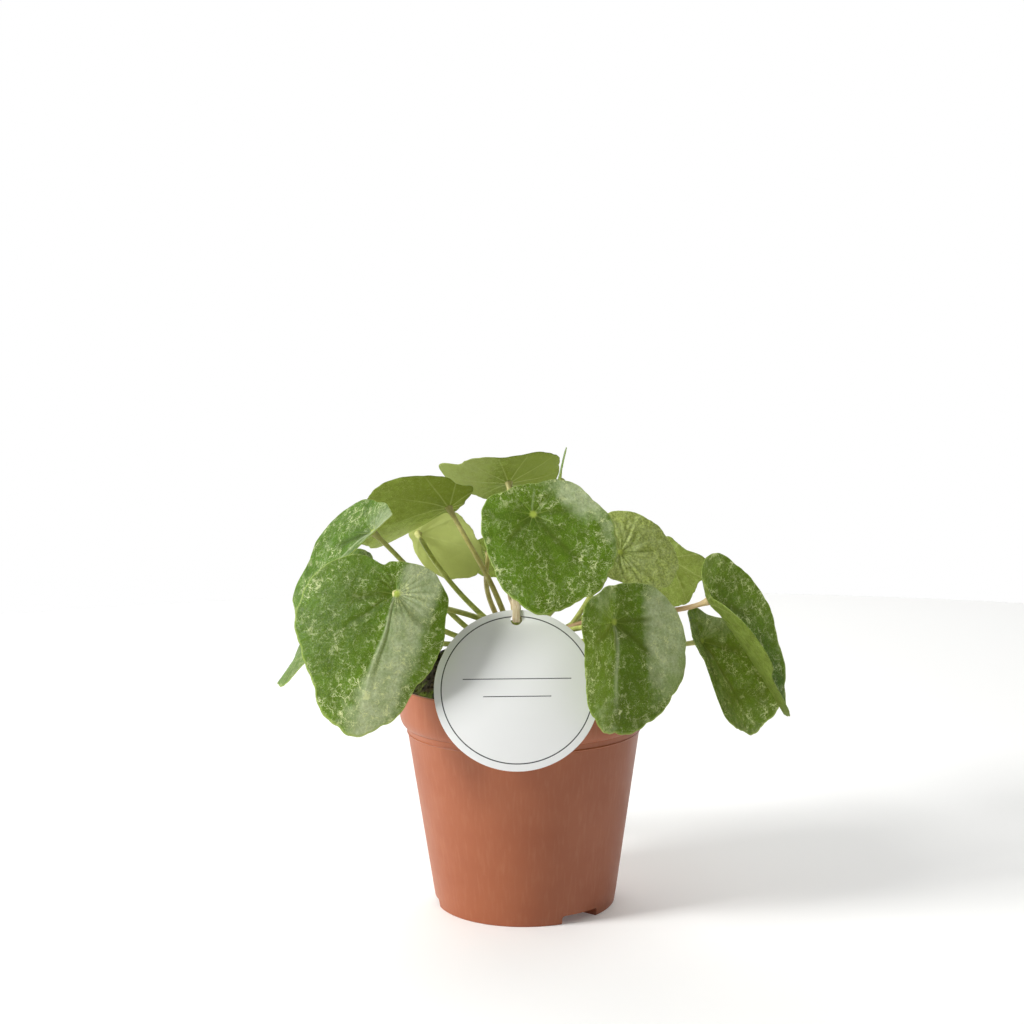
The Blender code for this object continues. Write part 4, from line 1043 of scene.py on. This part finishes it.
def make_blade(leaf):
    """A closed blade: an upper and a lower skin of rings round the hub, joined at a round rim."""
    shares = np.linspace(0.0, 1.0, RINGS + 1)[1:] ** RING_SPACING
    shares = np.append(shares[:-1], RIM_SHARES)
    angles = np.arange(SPOKES) * 2.0 * math.pi / SPOKES
    share, angle = np.meshgrid(shares, angles, indexing="ij")
    along, across = (share * edge for edge in leaf.edge(angle))
    relief = leaf.relief(along, across, share)
    thick = BLADE_THICK + (BLADE_THIN - BLADE_THICK) * share
    rim = np.zeros_like(share)
    rim[-2:] = np.array(RIM_DRAWN_IN)[:, None]
    upper = leaf.place(share, angle, relief - rim * thick)
    lower = leaf.place(share, angle, relief * UNDER_RELIEF - thick + rim * thick)[:-1]
    hubs = leaf.place(np.zeros(2), np.zeros(2), np.array([0.0, -BLADE_THICK]))
    points = np.concatenate([upper.reshape(-1, 3), lower.reshape(-1, 3), hubs])

    rows = len(shares)
    rings = np.arange(len(points) - 2).reshape(-1, SPOKES).tolist()
    top_rings, low_rings = rings[:rows], rings[rows:] + [rings[rows - 1]]
    top_hub, low_hub = len(points) - 2, len(points) - 1
    top = [(a, d, c, b) for a, b, c, d in ring_faces(top_rings)]
    top += [(top_hub, at, top_rings[0][(at + 1) % SPOKES]) for at in top_rings[0]]
    low = ring_faces(low_rings)
    low += [(low_hub, after, at) for at, after in zip(low_rings[0], low_rings[0][1:] + low_rings[0][:1])]

    seeds = np.full_like(along, SEED_SHIFT * leaf.seed)
    flat = np.stack([along, across, seeds], -1).reshape(-1, 3)
    blade_mm = np.concatenate([flat, flat[:-SPOKES], [[0.0, 0.0, SEED_SHIFT * leaf.seed]] * 2])
    rim_share = np.concatenate([share.ravel(), share.ravel()[:-SPOKES], [0.0, 0.0]])
    same = np.ones_like(rim_share)
    mesh = layered_mesh(f"leaf_blade_{leaf.name}", points, top + low, {
        "blade_mm": blade_mm,
        "leaf_kind": np.stack([leaf.tone * same, leaf.flecks * same, rim_share], -1),
        "leaf_marks": leaf.marks(blade_mm[:, 0], blade_mm[:, 1]),
    })
    piece = add_piece(mesh.name, mesh, [leaf_top, leaf_under], f"leaf_{leaf.name}")
    piece.data.polygons.foreach_set("material_index", [0] * len(top) + [1] * len(low))


leaves = {name: Leaf(name, values) for name, values in LEAVES.items()}
for leaf in leaves.values():
    make_blade(leaf)


# Leaf stalks: long round stalks, one to a leaf, fleshy and smooth. Each swells where it leaves
# the stem and again under the blade. Those that stand in the light are flushed pinkish brown.
STALK_SIDES = 20
STALK_STEPS = 56
STALK_RIBS = 5.0
RIB_DEPTH = 0.035
STALK_WAIST = 0.1
ROOT_SWELL = 0.7
ROOT_SWELL_SHARE = 1.0 / 22.0
ROOT_IN_STEM = 1.2
TIP_SWELL = 0.9
TIP_SWELL_SHARE = 1.0 / 26.0
TIP_IN_BLADE = 0.5
STALK_OLIVE = "#C8CE72"
STALK_SHADE = "#A4AE52"
STALK_BLUSH = "#D2A37C"
STALK_PALE = "#C9C08A"

# Smooth stalk skin: taut and faintly moist, in streaks 3 mm wide, so a soft gloss runs along it.
stalk_skin, add = new_material("smooth_stalk_skin")
kind = add("Attribute", attribute_name="stalk_kind", give="Vector")
way_up, blush = add("SeparateXYZ", (kind,), give=("X", "Y"))
place = add("TexCoord", give="Object")
streaks = add("TexNoise", {"Vector": place, "Scale": 320.0, "Detail": 3.0, "Roughness": 0.6})
streaked = add("MapRange", (streaks, 0.35, 0.65))
flushed = add("Math", (blush, 0.85), operation="MULTIPLY")
near_leaf = add("MapRange", (way_up, 0.8, 1.0, 0.0, 0.6))
colour = STALK_SHADE
for share, paint in ((streaked, STALK_OLIVE), (flushed, STALK_BLUSH), (near_leaf, STALK_PALE)):
    colour = add("Mix", (share, colour, paint), data_type="RGBA")
relief = add("Bump", {"Height": streaks, "Distance": 0.0001, "Strength": 0.4})
taut = add("BsdfPrincipled", {"Base Color": colour, "Roughness": 0.42, "IOR": 1.43, "Normal": relief})
add("OutputMaterial", (taut,))


def make_stalk(leaf):
    """A tapering tube along the stalk's line, with its ends run on into the stem and the blade."""
    line = leaf.stalk(STALK_STEPS)
    line.insert(0, line[0] + (line[0] - line[1]).normalized() * (GAP + ROOT_IN_STEM))
    line.append(leaf.hub - leaf.normal * TIP_IN_BLADE)
    tangents = [(after - before).normalized() for before, after in zip(line, line[1:])]
    tangents.append(tangents[-1])
    side = tangents[0].cross(Vector((0.3, 0.2, 1.0))).normalized()
    points, kinds = [], []
    for number, (spot, way) in enumerate(zip(line, tangents)):
        share = number / (len(line) - 1)
        side = (side - way * side.dot(way)).normalized()
        other = way.cross(side)
        radius = STALK_ROOT + (STALK_TIP - STALK_ROOT) * share
        radius += ROOT_SWELL * math.exp(-((share / ROOT_SWELL_SHARE) ** 2))
        radius -= STALK_WAIST * smooth_step(share * 12.0)
        radius += TIP_SWELL * math.exp(-(((1.0 - share) / TIP_SWELL_SHARE) ** 2))
        for step in range(STALK_SIDES):
            turn = 2.0 * math.pi * step / STALK_SIDES
            rib = 1.0 + RIB_DEPTH * math.cos(STALK_RIBS * turn + leaf.seed)
            points.append(spot + (side * math.cos(turn) + other * math.sin(turn)) * radius * rib)
            kinds.append((share, leaf.blush, 0.0))
    rings = np.arange(len(points)).reshape(-1, STALK_SIDES).tolist()
    faces = ring_faces(rings) + [rings[0][::-1], rings[-1]]
    mesh = layered_mesh(f"leaf_stalk_{leaf.name}", points, faces, {"stalk_kind": kinds})
    add_piece(mesh.name, mesh, [stalk_skin], f"stalk_{leaf.name}")


for leaf in leaves.values():
    make_stalk(leaf)


# Tag: a round card, die cut from coated white board with a punched hole, and printed with a fine
# black ring. Its words are left off: it has two ruled lines to write on.
TAG_RADIUS = 36.7
TAG_THICKNESS = 0.7
TAG_CENTRE_X = -3.0
TAG_CENTRE_Z = 112.5
TAG_LEAN = 26.5
HOLE_RADIUS = 2.6
HOLE_FROM_EDGE = 4.6
TAG_EDGE_ROUND = 0.1
TAG_STEPS = 180
HOLE_STEPS = 48
TAG_SHARP = math.radians(40.0)
RING_RADIUS = 33.5
RING_WIDTH = 0.5
RULES = ((4.6, 24.0), (-3.4, 15.0))
RULE_WIDTH = 0.4
CARD_WHITE = "#EDEEEC"
PRINT_BLACK = "#26282A"

# Coated board: white, dense and flat, with a fibre under the coating that is drawn 0.7 mm wide, as
# far as it shows. It gives an even white with a weak wide sheen.
board, add = new_material("coated_white_board")
place = add("TexCoord", give="Object")
right, up, out = add("SeparateXYZ", (place,), give=("X", "Y", "Z"))
from_middle = add("VectorMath", (add("CombineXYZ", (right, up)),), operation="LENGTH")
off_ring = add("Math", (from_middle, RING_RADIUS * MM), operation="SUBTRACT")
from_ring = add("Math", (off_ring,), operation="ABSOLUTE")
ink = add("MapRange", (from_ring, 0.4 * RING_WIDTH * MM, 0.6 * RING_WIDTH * MM, 1.0, 0.0))
aside = add("Math", (right,), operation="ABSOLUTE")
for rule_y, half_length in RULES:
    off_rule = add("Math", (up, rule_y * MM), operation="SUBTRACT")
    from_rule = add("Math", (off_rule,), operation="ABSOLUTE")
    on_rule = add("Math", (from_rule, 0.5 * RULE_WIDTH * MM), operation="LESS_THAN")
    within = add("Math", (aside, half_length * MM), operation="LESS_THAN")
    rule = add("Math", (on_rule, within), operation="MULTIPLY")
    ink = add("Math", (ink, rule), operation="MAXIMUM")
front = add("Math", (out, 0.0), operation="GREATER_THAN")
printed = add("Math", (ink, front), operation="MULTIPLY")
colour = add("Mix", (printed, CARD_WHITE, PRINT_BLACK), data_type="RGBA")
fibre = add("TexNoise", {"Vector": place, "Scale": 1400.0, "Detail": 3.0})
relief = add("Bump", {"Height": fibre, "Distance": 0.00003, "Strength": 0.4})
coated = add("BsdfPrincipled", {"Base Color": colour, "Roughness": 0.5, "IOR": 1.5, "Normal": relief})
add("OutputMaterial", (coated,))

tag_up = direction(90.0, 90.0 - TAG_LEAN)
tag_face = direction(-90.0, TAG_LEAN)
tag_across = tag_up.cross(tag_face)
rim_to_middle = (TAG_CENTRE_Z - POT_HEIGHT) * math.tan(math.radians(TAG_LEAN))
off_rim = (0.5 * TAG_THICKNESS + GAP) / math.cos(math.radians(TAG_LEAN))
tag_middle = Vector((TAG_CENTRE_X, -RIM_RADIUS - off_rim + rim_to_middle, TAG_CENTRE_Z))

outline = bpy.data.curves.new("tag_outline", "CURVE")
outline.dimensions = "2D"
outline.fill_mode = "BOTH"
outline.extrude = (0.5 * TAG_THICKNESS - TAG_EDGE_ROUND) * MM
outline.bevel_depth = TAG_EDGE_ROUND * MM
outline.bevel_resolution = 2
for radius, centre, count in (
    (TAG_RADIUS - TAG_EDGE_ROUND, 0.0, TAG_STEPS),
    (HOLE_RADIUS + TAG_EDGE_ROUND, TAG_RADIUS - HOLE_FROM_EDGE, HOLE_STEPS),
):
    spline = outline.splines.new("POLY")
    spline.points.add(count - 1)
    for number in range(count):
        turn = 2.0 * math.pi * number / count
        spot = (radius * math.cos(turn) * MM, (centre + radius * math.sin(turn)) * MM, 0.0, 1.0)
        spline.points[number].co = spot
    spline.use_cyclic_u = True
outline_object = new_object("tag_outline", outline)
graph = bpy.context.evaluated_depsgraph_get()
bm = bmesh.new()
bm.from_mesh(bpy.data.meshes.new_from_object(outline_object.evaluated_get(graph)))
bpy.data.objects.remove(outline_object, do_unlink=True)
bmesh.ops.remove_doubles(bm, verts=bm.verts, dist=0.000001)
tag = add_piece("plant_tag", bm, [board], "tag")
tag.data.set_sharp_from_angle(angle=TAG_SHARP)
tag.matrix_world = (
    Matrix.Translation(tag_middle * MM)
    @ Matrix((tag_across, tag_up, tag_face)).transposed().to_4x4()
)


# Tag loop: a flat band of beige raffia, drawn through the tag's hole, round the stalk of the
# leaf above, and closed behind it. Its two runs make a quarter turn on the way.
LOOP_WIDTH = 3.4
LOOP_THICKNESS = 0.7
LOOP_STALK_SHARE = 0.42
LOOP_SLACK = 0.4
LOOP_IN_HOLE = ((-0.2, -1.2), (-0.2, 0.2), (0.2, 1.0))
LOOP_OVER_CARD = ((1.2, 0.5), (3.0, 0.3), (HOLE_FROM_EDGE, 0.2))
LOOP_PAST_EDGE = 0.2
LOOP_SHARES = (0.3, 0.45, 0.6, 0.75, 0.9)
LOOP_TWIST_FROM = 0.35
LOOP_TURNS = (60, 20, -20, -60)
LOOP_STEPS = 140
LOOP_CROSS = 6
LOOP_EDGE = 0.05
LOOP_SHARP = math.radians(60.0)
SOLID_STALK_POINTS = 10
RAFFIA = "#E8DFC2"
RAFFIA_DARK = "#C9B088"

# Dry raffia: matt, its fibres 0.2 mm wide and running along the band, paler where they stand up.
raffia, add = new_material("dry_raffia_band")
strand = add("Attribute", attribute_name="band_mm", give="Vector")
drawn = add("Mapping", {"Vector": strand, "Scale": (0.12, 3.4, 1.0)})
fibre = add("TexNoise", {"Vector": drawn, "Scale": 1.3, "Detail": 4.0, "Roughness": 0.6})
standing = add("MapRange", (fibre, 0.38, 0.66))
colour = add("Mix", (standing, RAFFIA_DARK, RAFFIA), data_type="RGBA")
relief = add("Bump", {"Height": fibre, "Distance": 0.0003, "Strength": 0.7})
dry = add("BsdfPrincipled", {"Base Color": colour, "Roughness": 0.72, "Normal": relief})
add("OutputMaterial", (dry,))


def loop_lines(stalk):
    """The band's middle line and width direction, once round, as the solid model has them."""
    hole = tag_middle + tag_up * (TAG_RADIUS - HOLE_FROM_EDGE)
    place_on_stalk = LOOP_STALK_SHARE * (len(stalk) - 1)
    before, after = stalk[int(place_on_stalk)], stalk[int(place_on_stalk) + 1]
    held = before + (after - before) * (place_on_stalk - int(place_on_stalk))
    off_card = 0.5 * (TAG_THICKNESS + LOOP_THICKNESS) + GAP
    half_gap = STALK_ROOT + GAP + 0.5 * LOOP_THICKNESS + LOOP_SLACK
    edge = HOLE_FROM_EDGE + off_card + LOOP_PAST_EDGE
    start = hole + tag_up * 0.5 * edge
    reach_way = (held - start).normalized()
    side = (tag_across - reach_way * tag_across.dot(reach_way)).normalized()
    rise = side.cross(reach_way)
    rise = rise if rise.z > 0.0 else -rise
    over_card = [(up, off_card + out) for up, out in LOOP_OVER_CARD]
    lines = [(hole + tag_up * up + tag_face * out, tag_across)
             for up, out in (*LOOP_IN_HOLE, *over_card, (edge, LOOP_SLACK))]

    def run(share, sign):
        twisted = smooth_step((share - LOOP_TWIST_FROM) / (LOOP_SHARES[-1] - LOOP_TWIST_FROM))
        turn = 0.5 * math.pi * twisted
        out = rise * math.cos(turn) + side * math.sin(turn)
        wide = side * math.cos(turn) - rise * math.sin(turn)
        return start + (held - start) * share + out * half_gap * sign, wide

    lines += [run(share, 1.0) for share in LOOP_SHARES]
    for turn in LOOP_TURNS:
        angle = math.radians(turn)
        lines.append((held + (reach_way * math.cos(angle) + side * math.sin(angle)) * half_gap, -rise))
    return lines + [run(share, -1.0) for share in reversed(LOOP_SHARES)]


lines = loop_lines(leaves["e"].stalk(SOLID_STALK_POINTS))
at = len(lines) * np.arange(LOOP_STEPS) / LOOP_STEPS
spots, wides = ([Vector(spot) for spot in through(part, at)] for part in zip(*lines))
bm = bmesh.new()
layer = bm.verts.layers.float_vector.new("band_mm")
rings = []
travelled = 0.0
for number, spot in enumerate(spots):
    wide = wides[number].normalized()
    way = (spots[(number + 1) % LOOP_STEPS] - spots[number - 1]).normalized()
    thin = way.cross(wide).normalized()
    travelled += (spot - spots[number - 1]).length if number else 0.0
    ring = []
    for side in (1.0, -1.0):
        for step in range(LOOP_CROSS + 1):
            across = (step / LOOP_CROSS - 0.5) * side
            belly = 0.5 * LOOP_THICKNESS * math.sqrt(max(LOOP_EDGE, 1.0 - (2.0 * across) ** 4))
            vert = bm.verts.new((spot + wide * across * LOOP_WIDTH + thin * belly * side) * MM)
            vert[layer] = (travelled, across * LOOP_WIDTH, side)
            ring.append(vert)
    rings.append(ring)
for face in ring_faces(rings + rings[:1]):
    bm.faces.new(face)
bmesh.ops.recalc_face_normals(bm, faces=bm.faces)
band = add_piece("tag_band", bm, [raffia], "tag_loop")
band.data.set_sharp_from_angle(angle=LOOP_SHARP)
